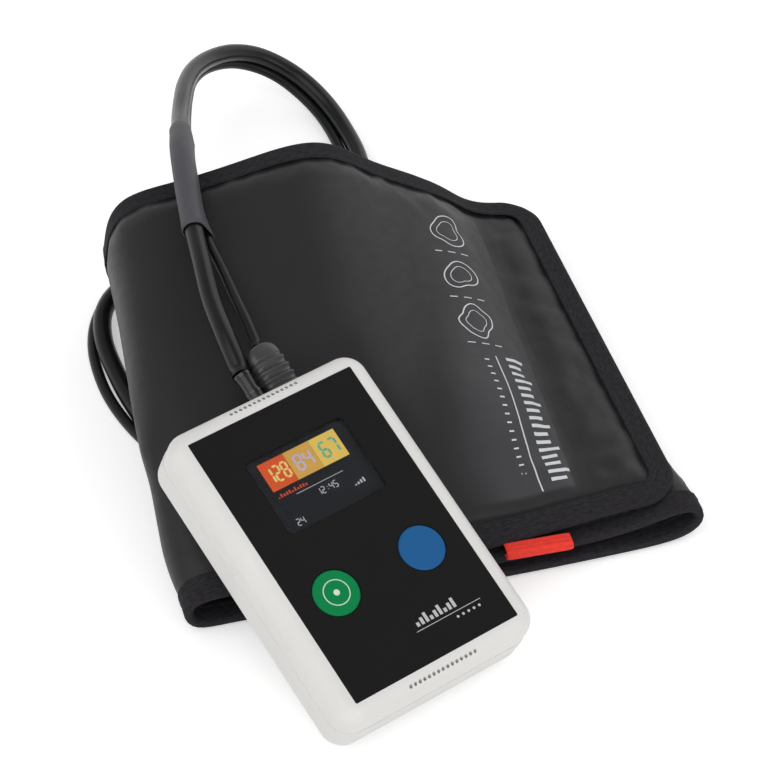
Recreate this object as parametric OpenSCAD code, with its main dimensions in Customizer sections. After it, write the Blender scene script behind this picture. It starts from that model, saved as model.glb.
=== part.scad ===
// Ambulatory blood pressure monitor: a pocket recorder lying on its rolled arm cuff,
// with the air hose and the microphone lead that join the two.
// The floor is z = 0. X runs along the wrap of the cuff and Y along its width.

/* [Recorder case] */
// Width of the case
case_w = 68.6; // [67:0.1:80]
// Length of the case, without the leads
case_l = 100; // [99:0.5:120]
// Thickness of the case
case_t = 23; // [22.8:0.1:27]
// Radius of the case's upright corners
corner_r = 7; // [6.6:0.1:8]
// Radius of the edge round the face
face_edge_r = 5.3; // [3:0.1:6]
// Radius of the edge round the back
back_edge_r = 4.8; // [3:0.1:6]
// Wall of the case
wall = 2; // [1.6:0.1:2.4]
// Wall of the back, which holds the battery door
back_wall = 2.6; // [2.4:0.1:3]
// Depth of the front shell, down to the parting line
front_h = 10.5; // [9.5:0.1:12]
// How far the rear shell stands out past the front shell all round
shell_step = 0.15; // [0:0.05:0.3]
// Diameter of a sound hole
vent_d = 1.1; // [0.8:0.1:1.3]
// Distance between sound holes
vent_pitch = 1.62; // [1.5:0.01:1.8]
// Sound holes in each row
vent_count = 15; // [9:2:17]

/* [Front panel] */
// Pale rim at each side of the dark panel
panel_side_rim = 5.7; // [5.4:0.1:9]
// Pale rim at each end of the dark panel
panel_end_rim = 5.3; // [5:0.1:8]
// Thickness of the dark panel
panel_t = 0.8; // [0.5:0.1:1]
// Width of the display window
window_w = 34.4; // [30:0.1:36]
// Length of the display window
window_l = 25.5; // [20:0.1:27]
// From the case's end at the leads to the display window
window_inset = 17.75; // [17:0.05:19]
// Diameter of a button
button_d = 14; // [10:0.1:16]
// Distance between the two buttons
button_pitch = 30.2; // [28:0.1:34]
// Middle of the buttons, away from the leads
button_y = 14; // [13:0.1:20]
// How far a button stands above the panel
button_proud = 0.4; // [0.2:0.1:1]
// Travel of a button
button_travel = 0.8; // [0.4:0.1:1]

/* [Inside the recorder] */
// Thickness of the circuit board
board_t = 1.2; // [0.8:0.1:1.4]
// Height of a key switch
switch_h = 1.2; // [0.8:0.1:1.4]
// Diameter of a battery
battery_d = 14.2; // [13.6:0.1:14.3]
// Length of the case that the batteries leave free
battery_free = 49.5; // [49.4:0.1:50.5]
// Thickness of the battery door
door_t = 1.2; // [1:0.1:1.3]
// Travel of the battery door
door_travel = 4; // [2:0.5:6]
// Diameter of the pump motor
motor_d = 12; // [9:0.1:12]
// Length of the pump's head
head_l = 11.5; // [10:0.1:12]
// Diameter of the motor shaft
shaft_d = 1.5; // [1:0.1:2]
// Throw of the pump's cam
cam_throw = 1; // [0.5:0.1:1.4]
// Diameter of the valve plunger
plunger_d = 3; // [2:0.1:4]
// Stroke of the valve plunger
plunger_travel = 1.2; // [0.6:0.1:1.5]
// Diameter of a case screw's shank
screw_d = 2.2; // [1.6:0.1:2.4]

/* [Leads] */
// Diameter of the air hose
hose_d = 6; // [5.4:0.1:6.1]
// Diameter of the microphone lead
lead_d = 3.6; // [3:0.1:3.7]
// Diameter of the air coupling
coupling_d = 6; // [5.6:0.1:6.4]
// Length of the air coupling outside the case
coupling_l = 11; // [9:0.5:12]
// Distance of the coupling from the middle of the case
coupling_x = 3.5; // [2.5:0.1:3.6]
// Depth of both sockets below the face
socket_z = 12; // [11.8:0.1:12.6]
// Distance of the microphone plug from the middle of the case
plug_x = 12.8; // [12.7:0.1:14]
// Width of the microphone plug
plug_w = 11.2; // [9:0.1:11.4]
// Thickness of the microphone plug
plug_t = 8; // [7:0.1:8.4]
// Length of the microphone plug outside the case
plug_l = 16.8; // [15:0.1:19]
// Wall of the sleeve that bundles the leads
sleeve_wall = 0.4; // [0.3:0.05:0.5]

/* [Cuff] */
// Width of the cuff's cloth
cuff_w = 142; // [136:1:146]
// Thickness of the cloth sandwich
cloth_t = 3.2; // [2.4:0.1:3.4]
// Width of the binding
binding_w = 9; // [7:0.5:11]
// Thickness of the binding's cloth
binding_t = 0.48; // [0.3:0.02:0.5]
// Radius of the cuff's cut corners
cuff_corner_r = 12; // [11.5:0.5:16]
// Thickness of the empty bladder
bladder_t = 1.5; // [0.8:0.1:1.6]
// Thickness of the hook and the loop pads
pad_t = 0.65; // [0.4:0.05:0.8]

/* [Hidden] */
round_fn = 64;
small_fn = 32;
over = 0.5;
slack = 0.3;
fit = 0.05;

// The recorder's own frame: z = 0 is its face, +y points to the leads
rec_pos = [-31.5, -51, 41.1];
rec_turn = 20.3;
rec_pitch = 22.1;
rec_roll = 1.8;

window_gap = 0.1;
panel_w = case_w - 2 * panel_side_rim;
panel_l = case_l - 2 * panel_end_rim;
panel_corner_r = 0.5;
window_corner_r = 2;
window_y = case_l / 2 - window_inset - window_l / 2;
face_wall = panel_t + 1.2;
flange_t = 0.8;
flange_rim = 0.8;
board_top = -(face_wall + slack + flange_t + button_travel + slack + switch_h);
board_bottom = board_top - board_t;
board_w = case_w - 2 * wall - 2;
board_l = case_l - 2 * wall - 2;
button_x = button_pitch / 2;
vent_y = case_l / 2 - 2.4;
inner_r = corner_r - wall;

door_sink = 0.1;
door_room = 0.3;
recess_d = door_sink + door_t + door_room;
battery_gap = 0.4;
battery_l = case_l - battery_free;
battery_z = -case_t + door_sink + door_t + battery_gap + battery_d / 2;
battery_x = battery_d / 2 + battery_gap / 2;
contact_t = 0.4;
spring_l = 1.7;
bay_w = 2 * battery_d + 3 * battery_gap;
bay_l = battery_l + spring_l + 2 * contact_t + 1;
bay_y = -case_l / 2 + back_edge_r + 9;
bay_wall = 1.2;
ledge = 2;
door_w = bay_w + 2 * ledge;
door_l = bay_l + 2 * ledge;
door_y = bay_y - ledge;
thumb_gap = door_travel + 1;
battery_y = bay_y + contact_t + spring_l + battery_l / 2 + 0.5;
nub_l = 1;
nub_d = 5.5;

post_x = case_w / 2 - wall - 5;
post_y = case_l / 2 - wall - 6.5;
post_d = 5.6;
screw_head_d = 4.2;
screw_head_h = 1.8;
screw_sink = 3;
posts = [[-post_x, -post_y], [post_x, -post_y], [-post_x, post_y], [post_x, post_y]];

floor_z = -case_t + back_wall;
pump_inset = 20;
pump_y = case_l / 2 - pump_inset;
touch = 0.1;
manifold_w = 6.4;
manifold_x = coupling_x - manifold_w / 2;
manifold_y = pump_y - 6;
manifold_inset = 6;
manifold_end = case_l / 2 - manifold_inset;
duct_d = 2.2;
duct_gap = 1;
head_w = 13;
head_x = manifold_x - duct_gap - head_l;
chamber_d = 9.6;
chamber_l = 6;
cam_d = 6;
cam_l = 4;
motor_gap = 2;
motor_x = -case_w / 2 + wall + motor_gap;
motor_l = head_x - touch - motor_x;
motor_z = floor_z + slack + motor_d / 2;
valve_x = manifold_x + manifold_w + touch;
valve_y = pump_y - 2;
valve_d = 9.6;
valve_l = 14;
valve_z = floor_z + slack + valve_d / 2;
sensor_duct_l = 5.4;
sensor_x = manifold_x + manifold_w + sensor_duct_l;
sensor_y = case_l / 2 - 11.5;
sensor_w = 8;
sensor_h = 5;
buzzer_d = 9;
buzzer_h = 2.4;
chip_w = 10;

socket_neck_d = coupling_d + 1.2;
socket_flange_d = coupling_d + 1.8;
plug_nose_w = plug_w - 3.6;
plug_nose_t = plug_t - 3.6;
plug_nose_l = 5;
plug_grip_l = plug_l - 3.5;

module place() {
    translate(rec_pos) rotate([0, 0, rec_turn]) rotate([rec_pitch, 0, 0]) rotate([0, rec_roll, 0])
        children();
}
function turn_y(p, a) = [p.x * cos(a) + p.z * sin(a), p.y, p.z * cos(a) - p.x * sin(a)];
function turn_x(p, a) = [p.x, p.y * cos(a) - p.z * sin(a), p.y * sin(a) + p.z * cos(a)];
function turn_z(p, a) = [p.x * cos(a) - p.y * sin(a), p.x * sin(a) + p.y * cos(a), p.z];
function dir(p) = turn_z(turn_x(turn_y(p, rec_roll), rec_pitch), rec_turn);
function at_rec(p) = rec_pos + dir(p);

// A block with round upright corners and a round edge at its top, flat at z = 0
module edge_profile(deep, h, edge) {
    square([deep, h - edge]);
    square([deep - edge, h]);
    translate([deep - edge, h - edge]) intersection() {
        circle(edge, $fn = round_fn);
        square([edge, edge]);
    }
}
module rounded_block(w, l, h, corner, edge) {
    side_x = w / 2 - corner;
    side_y = l / 2 - corner;
    translate([0, 0, h / 2]) cube([2 * side_x, 2 * side_y, h], center = true);
    for (side = [0, 1]) mirror([side, 0, 0]) translate([side_x, 0, 0]) rotate([90, 0, 0])
        linear_extrude(2 * side_y, center = true) edge_profile(corner, h, edge);
    for (side = [0, 1]) mirror([0, side, 0]) translate([0, side_y, 0]) rotate([90, 0, 90])
        linear_extrude(2 * side_x, center = true) edge_profile(corner, h, edge);
    for (mx = [0, 1], my = [0, 1]) mirror([mx, 0, 0]) mirror([0, my, 0])
        translate([side_x, side_y, 0])
        rotate_extrude(angle = 90, $fn = round_fn) edge_profile(corner, h, edge);
}
module plate(w, l, h, r) {
    linear_extrude(h) {
        square([w - 2 * r, l], center = true);
        square([w, l - 2 * r], center = true);
        for (x = [-1, 1], y = [-1, 1]) translate([x * (w / 2 - r), y * (l / 2 - r)])
            circle(r, $fn = small_fn);
    }
}
// Holes of both shells for the two sockets in the end wall
module socket_holes() {
    translate([coupling_x, case_l / 2 - wall - over, -socket_z]) rotate([-90, 0, 0])
        cylinder(d = socket_neck_d + 2 * fit, h = wall + 2 * over, $fn = round_fn);
    translate([plug_x, case_l / 2 - wall / 2, -socket_z])
        cube([plug_nose_w + 2 * slack, wall + 2 * over, plug_nose_t + 2 * slack], center = true);
}

module front_shell() {
    color([0.86, 0.85, 0.83]) place() difference() {
        union() {
            difference() {
                translate([0, 0, -front_h]) rounded_block(case_w, case_l, front_h, corner_r, face_edge_r);
                translate([0, 0, -front_h - over])
                    rounded_block(case_w - 2 * wall, case_l - 2 * wall, front_h - face_wall + over,
                        inner_r, face_edge_r - wall);
            }
            for (p = posts) translate([p.x, p.y, board_top])
                cylinder(d = post_d, h = -board_top - face_wall + over / 2, $fn = small_fn);
        }
        translate([0, 0, -panel_t]) plate(panel_w, panel_l, panel_t + over, panel_corner_r);
        translate([-window_w / 2 - 1.5, window_y - window_l / 2 - 1.5, -face_wall - over])
            cube([window_w + 3, window_l + 3, face_wall + over]);
        for (side = [-1, 1]) translate([side * button_x, -button_y, -face_wall - over])
            cylinder(d = button_d + 2 * slack, h = face_wall + over, $fn = round_fn);
        for (p = posts) translate([p.x, p.y, board_top - over])
            cylinder(d = screw_d + 2 * fit, h = -board_top - face_wall + over, $fn = small_fn);
        for (end = [-1, 1], i = [0:vent_count - 1])
            translate([(i - (vent_count - 1) / 2) * vent_pitch, end * vent_y, -face_wall - over])
            cylinder(d = vent_d, h = face_wall + 2 * over, $fn = 16);
        socket_holes();
    }
}
module rear_shell() {
    rear_w = case_w + 2 * shell_step;
    rear_l = case_l + 2 * shell_step;
    rear_h = case_t - front_h;
    color([0.84, 0.83, 0.81]) place() difference() {
        union() {
            difference() {
                translate([0, 0, -front_h]) mirror([0, 0, 1])
                    rounded_block(rear_w, rear_l, rear_h, corner_r, back_edge_r);
                translate([0, 0, -front_h + over]) mirror([0, 0, 1])
                    rounded_block(case_w - 2 * wall, case_l - 2 * wall, rear_h - back_wall + over,
                        inner_r, back_edge_r - wall);
            }
            for (p = posts) translate([p.x, p.y, floor_z - over / 2])
                cylinder(d = post_d, h = board_bottom - floor_z + over / 2, $fn = small_fn);
            for (y = [bay_y - bay_wall, bay_y + bay_l]) translate([-bay_w / 2, y, floor_z - over / 2])
                cube([bay_w, bay_wall, -front_h - floor_z]);
            for (x = [0.25, 0.75]) translate([motor_x + x * motor_l, pump_y, floor_z - over / 2])
                translate([-0.6, -5, 0]) cube([1.2, 10, 4]);
        }
        translate([-door_w / 2 - slack, door_y - thumb_gap, -case_t - over])
            cube([door_w + 2 * slack, door_l + thumb_gap + slack, recess_d + over]);
        translate([-bay_w / 2, bay_y, -case_t]) cube([bay_w, bay_l, back_wall + over]);
        for (p = posts) translate([p.x, p.y, -case_t - over]) {
            cylinder(d = screw_d + 2 * fit, h = case_t, $fn = small_fn);
            cylinder(d = screw_head_d + 2 * slack, h = screw_sink + over, $fn = small_fn);
        }
        translate([motor_x - over, pump_y, motor_z]) rotate([0, 90, 0])
            cylinder(d = motor_d + 2 * fit, h = motor_l + 2 * over, $fn = round_fn);
        socket_holes();
    }
}
module front_overlay() {
    color([0.13, 0.13, 0.14]) place() difference() {
        translate([0, 0, -panel_t])
            plate(panel_w - 2 * window_gap, panel_l - 2 * window_gap, panel_t, panel_corner_r - window_gap);
        translate([0, window_y, -panel_t - over])
            plate(window_w, window_l, panel_t + 2 * over, window_corner_r);
        for (side = [-1, 1]) translate([side * button_x, -button_y, -panel_t - over])
            cylinder(d = button_d + 2 * slack, h = panel_t + 2 * over, $fn = round_fn);
    }
}
module display_window() {
    color([0.2, 0.22, 0.24]) place()
        translate([0, window_y, -panel_t])
        plate(window_w - 2 * window_gap, window_l - 2 * window_gap, panel_t - 0.05, window_corner_r - window_gap);
}
// Glass of the display on its frame, which stands on the board
module display_module() {
    glass_w = window_w + 2;
    glass_l = window_l + 2;
    top = -panel_t - 0.2;
    color([0.35, 0.4, 0.42]) place() difference() {
        translate([-glass_w / 2, window_y - glass_l / 2, board_top]) cube([glass_w, glass_l, top - board_top]);
        translate([-glass_w / 2 + 1.5, window_y - glass_l / 2 + 1.5, board_top - over])
            cube([glass_w - 3, glass_l - 3, top - board_top - 1.4 + over]);
    }
}
module button(side) {
    place() translate([side * button_x, -button_y, 0]) {
        translate([0, 0, -face_wall - slack])
            cylinder(d = button_d, h = face_wall + slack + button_proud - 0.4, $fn = round_fn);
        translate([0, 0, button_proud - 0.4])
            cylinder(d1 = button_d, d2 = button_d - 0.8, h = 0.4, $fn = round_fn);
        translate([0, 0, -face_wall - slack - flange_t])
            cylinder(d = button_d + 2 * slack + 2 * flange_rim, h = flange_t, $fn = round_fn);
    }
}
module start_button() {
    color([0, 0.55, 0.32]) button(-1);
}
module event_button() {
    color([0.1, 0.37, 0.62]) button(1);
}
module key_switch(side) {
    place() translate([side * button_x, -button_y, board_top]) {
        translate([-3, -3, 0]) cube([6, 6, switch_h - 0.4]);
        cylinder(d = 3.6, h = switch_h, $fn = small_fn);
    }
}
module start_switch() {
    color("silver") key_switch(-1);
}
module event_switch() {
    color("silver") key_switch(1);
}
module circuit_board() {
    color([0.1, 0.35, 0.2]) place() difference() {
        translate([0, 0, board_bottom]) plate(board_w, board_l, board_t, inner_r - 1);
        for (p = posts) translate([p.x, p.y, board_bottom - over])
            cylinder(d = screw_d + 2 * fit, h = board_t + 2 * over, $fn = small_fn);
    }
}
module processor_chip() {
    color([0.15, 0.15, 0.15]) place() translate([0, -button_y - 16, board_top]) {
        translate([-chip_w / 2, -chip_w / 2, 0.1]) cube([chip_w, chip_w, 1]);
        for (i = [-4:4], side = [0, 90, 180, 270]) rotate([0, 0, side])
            translate([i * 1 - 0.2, chip_w / 2 - 0.2, 0]) cube([0.4, 1.2, 0.3]);
    }
}
module buzzer() {
    color([0.2, 0.2, 0.2]) place() translate([0, vent_y - 1.8 - buzzer_d / 2, board_top]) difference() {
        cylinder(d = buzzer_d, h = buzzer_h, $fn = small_fn);
        translate([0, 0, buzzer_h - 1]) cylinder(d = 2, h = 2, $fn = small_fn);
    }
}
module pump_motor() {
    color("silver") place() translate([motor_x, pump_y, motor_z]) rotate([0, 90, 0]) difference() {
        union() {
            cylinder(d = motor_d, h = motor_l - 1, $fn = round_fn);
            cylinder(d = motor_d / 2, h = motor_l, $fn = round_fn);
        }
        translate([0, 0, motor_l - 10]) cylinder(d = shaft_d + 2 * fit, h = 10 + over, $fn = small_fn);
    }
}
module pump_rotor() {
    color([0.7, 0.7, 0.72]) place() translate([motor_x + motor_l, pump_y, motor_z]) rotate([0, 90, 0]) {
        translate([0, 0, -9]) cylinder(d = shaft_d, h = 9 + 1 + cam_l, $fn = small_fn);
        translate([0, cam_throw, 1]) cylinder(d = cam_d, h = cam_l, $fn = small_fn);
    }
}
module pump_head() {
    color([0.3, 0.32, 0.34]) place() translate([head_x, pump_y - head_w / 2, motor_z - motor_d / 2]) difference() {
        cube([head_l, head_w, motor_d]);
        translate([-over, head_w / 2, motor_d / 2]) rotate([0, 90, 0])
            cylinder(d = chamber_d, h = chamber_l + over, $fn = round_fn);
    }
}
// Rigid duct block between the pump, the valve, the sensor and the air socket
module air_manifold() {
    bottom = -socket_z - manifold_w / 2;
    color([0.75, 0.75, 0.72]) place() difference() {
        union() {
            translate([manifold_x, manifold_y, bottom]) cube([manifold_w, manifold_end - manifold_y, manifold_w]);
            translate([manifold_x, sensor_y, board_bottom - sensor_h / 2]) rotate([0, 90, 0])
                cylinder(d = duct_d + 1.4, h = sensor_x - manifold_x - touch, $fn = small_fn);
        }
        translate([coupling_x, manifold_y + 2, -socket_z]) rotate([-90, 0, 0])
            cylinder(d = duct_d, h = case_l, $fn = small_fn);
    }
}
module valve_body() {
    color("dimgray") place() translate([valve_x, valve_y, valve_z]) rotate([0, 90, 0]) difference() {
        cylinder(d = valve_d, h = valve_l, $fn = round_fn);
        translate([0, 0, 2]) cylinder(d = plunger_d + 2 * fit, h = valve_l, $fn = small_fn);
    }
}
module valve_plunger() {
    color("silver") place() translate([valve_x + 2.5, valve_y, valve_z]) rotate([0, 90, 0])
        cylinder(d = plunger_d, h = valve_l + 0.5, $fn = small_fn);
}
module pressure_sensor() {
    color([0.85, 0.85, 0.8]) place() translate([sensor_x, sensor_y - sensor_w / 2, board_bottom - sensor_h])
        cube([sensor_w, sensor_w, sensor_h]);
}
// The plain end is y = 0 and the nub points to +y
module battery() {
    rotate([-90, 0, 0]) {
        cylinder(d = battery_d, h = battery_l - nub_l, $fn = round_fn);
        cylinder(d = nub_d, h = battery_l, $fn = small_fn);
    }
}
module battery_left() {
    color([0.55, 0.57, 0.6]) place() translate([-battery_x, battery_y - battery_l / 2, battery_z]) battery();
}
module battery_right() {
    color([0.55, 0.57, 0.6]) place() translate([battery_x, battery_y - battery_l / 2, battery_z]) battery();
}
module contact_plate(y) {
    translate([-bay_w / 2 + 0.6, y, battery_z - battery_d / 2]) cube([bay_w - 1.2, contact_t, battery_d - 3.2]);
}
// Sprung contacts at the near end of the bay, pressed short by the batteries
module battery_springs() {
    color("silver") place() {
        contact_plate(bay_y + 0.1);
        for (side = [-1, 1]) translate([side * battery_x, bay_y + 0.1 + contact_t, battery_z])
            rotate([-90, 0, 0]) {
                cylinder(d = 7, h = spring_l / 2, $fn = small_fn);
                cylinder(d = 5, h = spring_l, $fn = small_fn);
            }
    }
}
module battery_contacts() {
    color("silver") place() contact_plate(bay_y + bay_l - contact_t - 0.1);
}
module battery_door() {
    groove_y = door_y + 5;
    color([0.84, 0.83, 0.81]) place() difference() {
        translate([0, door_y + door_l / 2, -case_t + door_sink]) plate(door_w, door_l, door_t, 1);
        for (i = [0:4]) translate([0, groove_y + 2 * i, -case_t + door_sink]) rotate([0, 90, 0])
            cylinder(d = 1, h = door_w * 0.4, center = true, $fn = 16);
    }
}
module case_screw(p) {
    color([0.6, 0.6, 0.62]) place() translate([p.x, p.y, -case_t + screw_sink]) {
        cylinder(d = screw_d, h = case_t - screw_sink - face_wall - 1, $fn = small_fn);
        translate([0, 0, -screw_head_h]) difference() {
            cylinder(d = screw_head_d, h = screw_head_h, $fn = small_fn);
            for (a = [0, 90]) rotate([0, 0, a]) cube([2.4, 0.6, 2], center = true);
        }
    }
}
module case_screw_1() case_screw(posts[0]);
module case_screw_2() case_screw(posts[1]);
module case_screw_3() case_screw(posts[2]);
module case_screw_4() case_screw(posts[3]);
module air_socket() {
    color("silver") place() translate([coupling_x, manifold_end + touch, -socket_z]) rotate([-90, 0, 0]) difference() {
        union() {
            cylinder(d = socket_flange_d, h = 6 - wall - 0.2, $fn = round_fn);
            cylinder(d = socket_neck_d, h = 5.9 + shell_step, $fn = round_fn);
        }
        translate([0, 0, 1]) cylinder(d = coupling_d - 1.4 + 2 * fit, h = 8, $fn = round_fn);
        translate([0, 0, -over]) cylinder(d = duct_d, h = 3, $fn = small_fn);
    }
}
module mic_socket() {
    depth = plug_nose_l - wall + 1;
    color([0.12, 0.12, 0.13]) place()
        translate([plug_x, case_l / 2 - wall - 0.1 - depth / 2 - 0.5, -socket_z]) difference() {
        cube([plug_nose_w + 2, depth + 1, plug_nose_t + 2], center = true);
        translate([0, 1, 0]) cube([plug_nose_w + 2 * fit, depth + 1, plug_nose_t + 2 * fit], center = true);
    }
}
// Quick coupling: two polished collars on a plain barrel, with its spigot in the socket
module air_coupling() {
    rim = case_l / 2 + shell_step + 0.1;
    face = case_l / 2 + coupling_l;
    color([0.2, 0.2, 0.21]) place() translate([coupling_x, 0, -socket_z]) rotate([-90, 0, 0]) {
        translate([0, 0, rim - 4.5]) cylinder(d = coupling_d - 1.4, h = 5, $fn = round_fn);
        translate([0, 0, rim]) cylinder(d = coupling_d, h = face - rim, $fn = round_fn);
        for (y = [0.3, 0.88]) translate([0, 0, rim + y * (face - rim)])
            cylinder(d = coupling_d + 0.3, h = 1.3, $fn = round_fn);
    }
}
module plug_outline(grow) {
    r = 3;
    w = plug_w + 2 * grow;
    t = plug_t + 2 * grow;
    square([w - 2 * r, t], center = true);
    square([w, t - 2 * r], center = true);
    for (x = [-1, 1], y = [-1, 1]) translate([x * (w / 2 - r), y * (t / 2 - r)]) circle(r, $fn = small_fn);
}
plug_tip_x = 0.9;
module mic_plug() {
    start = case_l / 2 + shell_step + 0.1;
    color([0.25, 0.25, 0.26]) place() translate([plug_x, 0, -socket_z]) rotate([-90, 0, 0]) {
        translate([-plug_nose_w / 2, -plug_nose_t / 2, start - plug_nose_l])
            cube([plug_nose_w, plug_nose_t, plug_nose_l + over]);
        translate([0, 0, start]) linear_extrude(plug_grip_l - start + case_l / 2) plug_outline(-0.4);
        for (i = [0:4]) translate([0, 0, start + i * 2.9]) linear_extrude(1.5) plug_outline(0);
        hull() {
            translate([0, 0, case_l / 2 + plug_grip_l - 0.6]) linear_extrude(0.6) plug_outline(-0.4);
            translate([plug_tip_x, 0, case_l / 2 + plug_l - 0.8]) cylinder(d = lead_d + 1.6, h = 0.8, $fn = small_fn);
        }
    }
}

// Route of the air hose, from the coupling to where its hidden coil begins
hose_start = at_rec([coupling_x, case_l / 2 + coupling_l, -socket_z]);
hose_route = concat([hose_start], [
    [-51.4, 20, 56.6], [-52.2, 35, 58], [-51.5, 50, 59], [-50.6, 64, 59], [-49.4, 78, 59.4],
    [-47.8, 92, 60.1], [-45.8, 106, 58.2], [-42.8, 121, 52.5], [-39.5, 135.5, 46.6], [-36, 149, 42],
    [-32.2, 162, 37.6], [-27, 174.5, 33], [-19.6, 185, 28], [-10.6, 191.5, 23.4], [-1.2, 194, 18.4],
    [7.8, 192, 13.2], [15.5, 186, 8.6], [20.7, 176.5, 5.2], [23.4, 164, 3.1], [24, 149.5, 3.1],
    [21.5, 135, 3.1], [14.5, 125, 3.1], [5, 119, 3.1], [-9.5, 116, 3.1], [-25.5, 114.5, 3.3],
    [-41, 112.5, 4.6], [-56, 108.5, 6.6], [-68.5, 102.5, 7.4], [-76.5, 93.5, 7], [-79.3, 81, 5.6],
    [-77.4, 66, 3.8], [-74.8, 53, 3.1], [-70.6, 38.6, 3.1], [-63, 26, 3.1], [-53, 16, 3.1],
    [-41, 10, 3.1], [-28.5, 8, 3.1]]);
// Route of the microphone lead beside it, one point for each of the hose's
lead_start = at_rec([plug_x + plug_tip_x, case_l / 2 + plug_l, -socket_z]);
lead_route = concat([lead_start], [
    [-43.8, 25, 56], [-44.6, 36, 56], [-45.4, 50, 55.4], [-46.6, 64, 55], [-46.9, 78, 55],
    [-45.5, 92, 55.7], [-43.8, 105, 53.9], [-41.3, 118.5, 48.2], [-38.9, 132.5, 42.2], [-35.9, 145.8, 37.6],
    [-32.2, 158.8, 33.2], [-27.6, 172.8, 28.3], [-20.8, 183.8, 23.4], [-12.4, 190.2, 18.7], [-3.6, 191.8, 14.2],
    [4.4, 189.4, 9.8], [10.8, 183.4, 5.8], [15.3, 174, 3], [17.5, 163, 1.9], [18, 149, 1.9],
    [15.5, 138, 1.9], [10.5, 130, 1.9], [3.5, 125, 1.9], [-10, 121.8, 1.9], [-26, 120.4, 1.9],
    [-42, 118.8, 1.9], [-57, 114.6, 1.9], [-70.5, 107, 1.9], [-79, 95.5, 1.9], [-83, 81.5, 1.9],
    [-83.2, 65, 1.9], [-80.6, 50.5, 1.9], [-75.4, 36, 1.9], [-66.5, 23, 1.9], [-55.5, 12.2, 1.9],
    [-42.5, 5.2, 1.9], [-28.5, 3, 1.9]]);

function unit(v) = v / norm(v);
function tangents(p, first, last) = [for (i = [0:len(p) - 1])
    i == 0 ? first : i == len(p) - 1 ? last : unit(unit(p[i + 1] - p[i]) + unit(p[i] - p[i - 1]))];
function square_to(u, t) = unit(u - (u * t) * t);
function carried(t, u0) = [for (i = 0, u = square_to(u0, t[0]); i < len(t);
    i = i + 1, u = i < len(t) ? square_to(u, t[i]) : u) u];
// Skin of a row of rings with the same count of points, closed at both ends
module skin(rings) {
    n = len(rings[0]);
    last = len(rings) - 1;
    polyhedron(points = [for (ring = rings) each ring], faces = concat(
        [for (i = [1:n - 2]) [0, i, i + 1]],
        [for (k = [0:last - 1], i = [0:n - 1]) each let (a = k * n + i, b = k * n + (i + 1) % n)
            [[a, a + n, b], [b, a + n, b + n]]],
        [for (i = [1:n - 2]) [last * n, last * n + i + 1, last * n + i]]), convexity = 10);
}
module tube(p, d, sides, first, last) {
    t = tangents(p, first, last);
    u = carried(t, [0, 0, 1]);
    skin([for (i = [0:len(p) - 1]) let (v = cross(t[i], u[i]))
        [for (k = [0:sides - 1]) let (a = 360 * (k + 0.5) / sides) p[i] + d / 2 * (cos(a) * u[i] + sin(a) * v)]]);
}

// The hidden length lies in one flat spiral below the cuff
coil_x = -23.5;
coil_y = 55;
coil_pitch = 10;
coil_turns = 2.25;
coil_steps = 24 * coil_turns;
hose_coil_r = 47;
lead_coil_r = 52;
// Its last half turn draws in further, which leaves room for the port
last_draw = 3;
port_y = coil_y + 1;
function coil_r(r, turns) = r - coil_pitch * turns - last_draw * ease(coil_turns - 0.5, coil_turns, turns);
function spiral(r, z) = concat([[coil_x - 5, coil_y - r, z]],
    [for (i = [0:coil_steps]) let (a = -90 + 360 * coil_turns * i / coil_steps,
        q = coil_r(r, coil_turns * i / coil_steps)) [coil_x + q * cos(a), coil_y + q * sin(a), z]],
    [[coil_x + coil_r(r, coil_turns), port_y, z]]);
function least_gap(p, d) = min([for (i = [0:len(p) - 1], k = [i + 12:1:len(p) - 1]) norm(p[i] - p[k])]) - d;
hose_z = hose_d / 2 + 0.1;
lead_z = lead_d / 2 + 0.1;
hose_spiral = spiral(hose_coil_r, hose_z);
lead_spiral = spiral(lead_coil_r, lead_z);
echo(hose_coil_gap = least_gap(hose_spiral, hose_d), lead_coil_gap = least_gap(lead_spiral, lead_d));

module air_hose() {
    color([0.1, 0.1, 0.11]) tube(hose_route, hose_d, 10, dir([0, 1, 0]), [1, 0, 0]);
}
module air_hose_coil() {
    color([0.1, 0.1, 0.11]) tube(hose_spiral, hose_d, 6, [1, 0, 0], [0, 1, 0]);
}
module mic_cable() {
    color([0.1, 0.1, 0.11]) tube(lead_route, lead_d, 8, dir([0, 1, 0]), [1, 0, 0]);
}
module mic_cable_coil() {
    color([0.1, 0.1, 0.11]) tube(lead_spiral, lead_d, 6, [1, 0, 0], [0, 1, 0]);
}
// The sleeve is a shrunk tube round both leads: each ring is the outline of two circles
sleeve_first = 4;
sleeve_last = 8;
sleeve_sides = 16;
function sleeve_ring(i, grow) = let (a = hose_route[i], b = lead_route[i],
    t = unit(unit(hose_route[i + 1] - a) + unit(a - hose_route[i - 1])), u = square_to([0, 0, 1], t), v = cross(t, u))
    [for (k = [0:sleeve_sides - 1]) let (q = 360 * k / sleeve_sides, w = cos(q) * u + sin(q) * v,
        ra = hose_d / 2 + grow, rb = lead_d / 2 + grow, c = b + ((a - b) * t) * t)
        (a * w + ra > c * w + rb) ? a + ra * w : c + rb * w];
module lead_sleeve() {
    color([0.32, 0.33, 0.35]) difference() {
        skin([for (i = [sleeve_first:sleeve_last]) sleeve_ring(i, 0.12 + sleeve_wall)]);
        skin([for (i = [sleeve_first:sleeve_last]) sleeve_ring(i, 0.12)]);
    }
}

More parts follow.
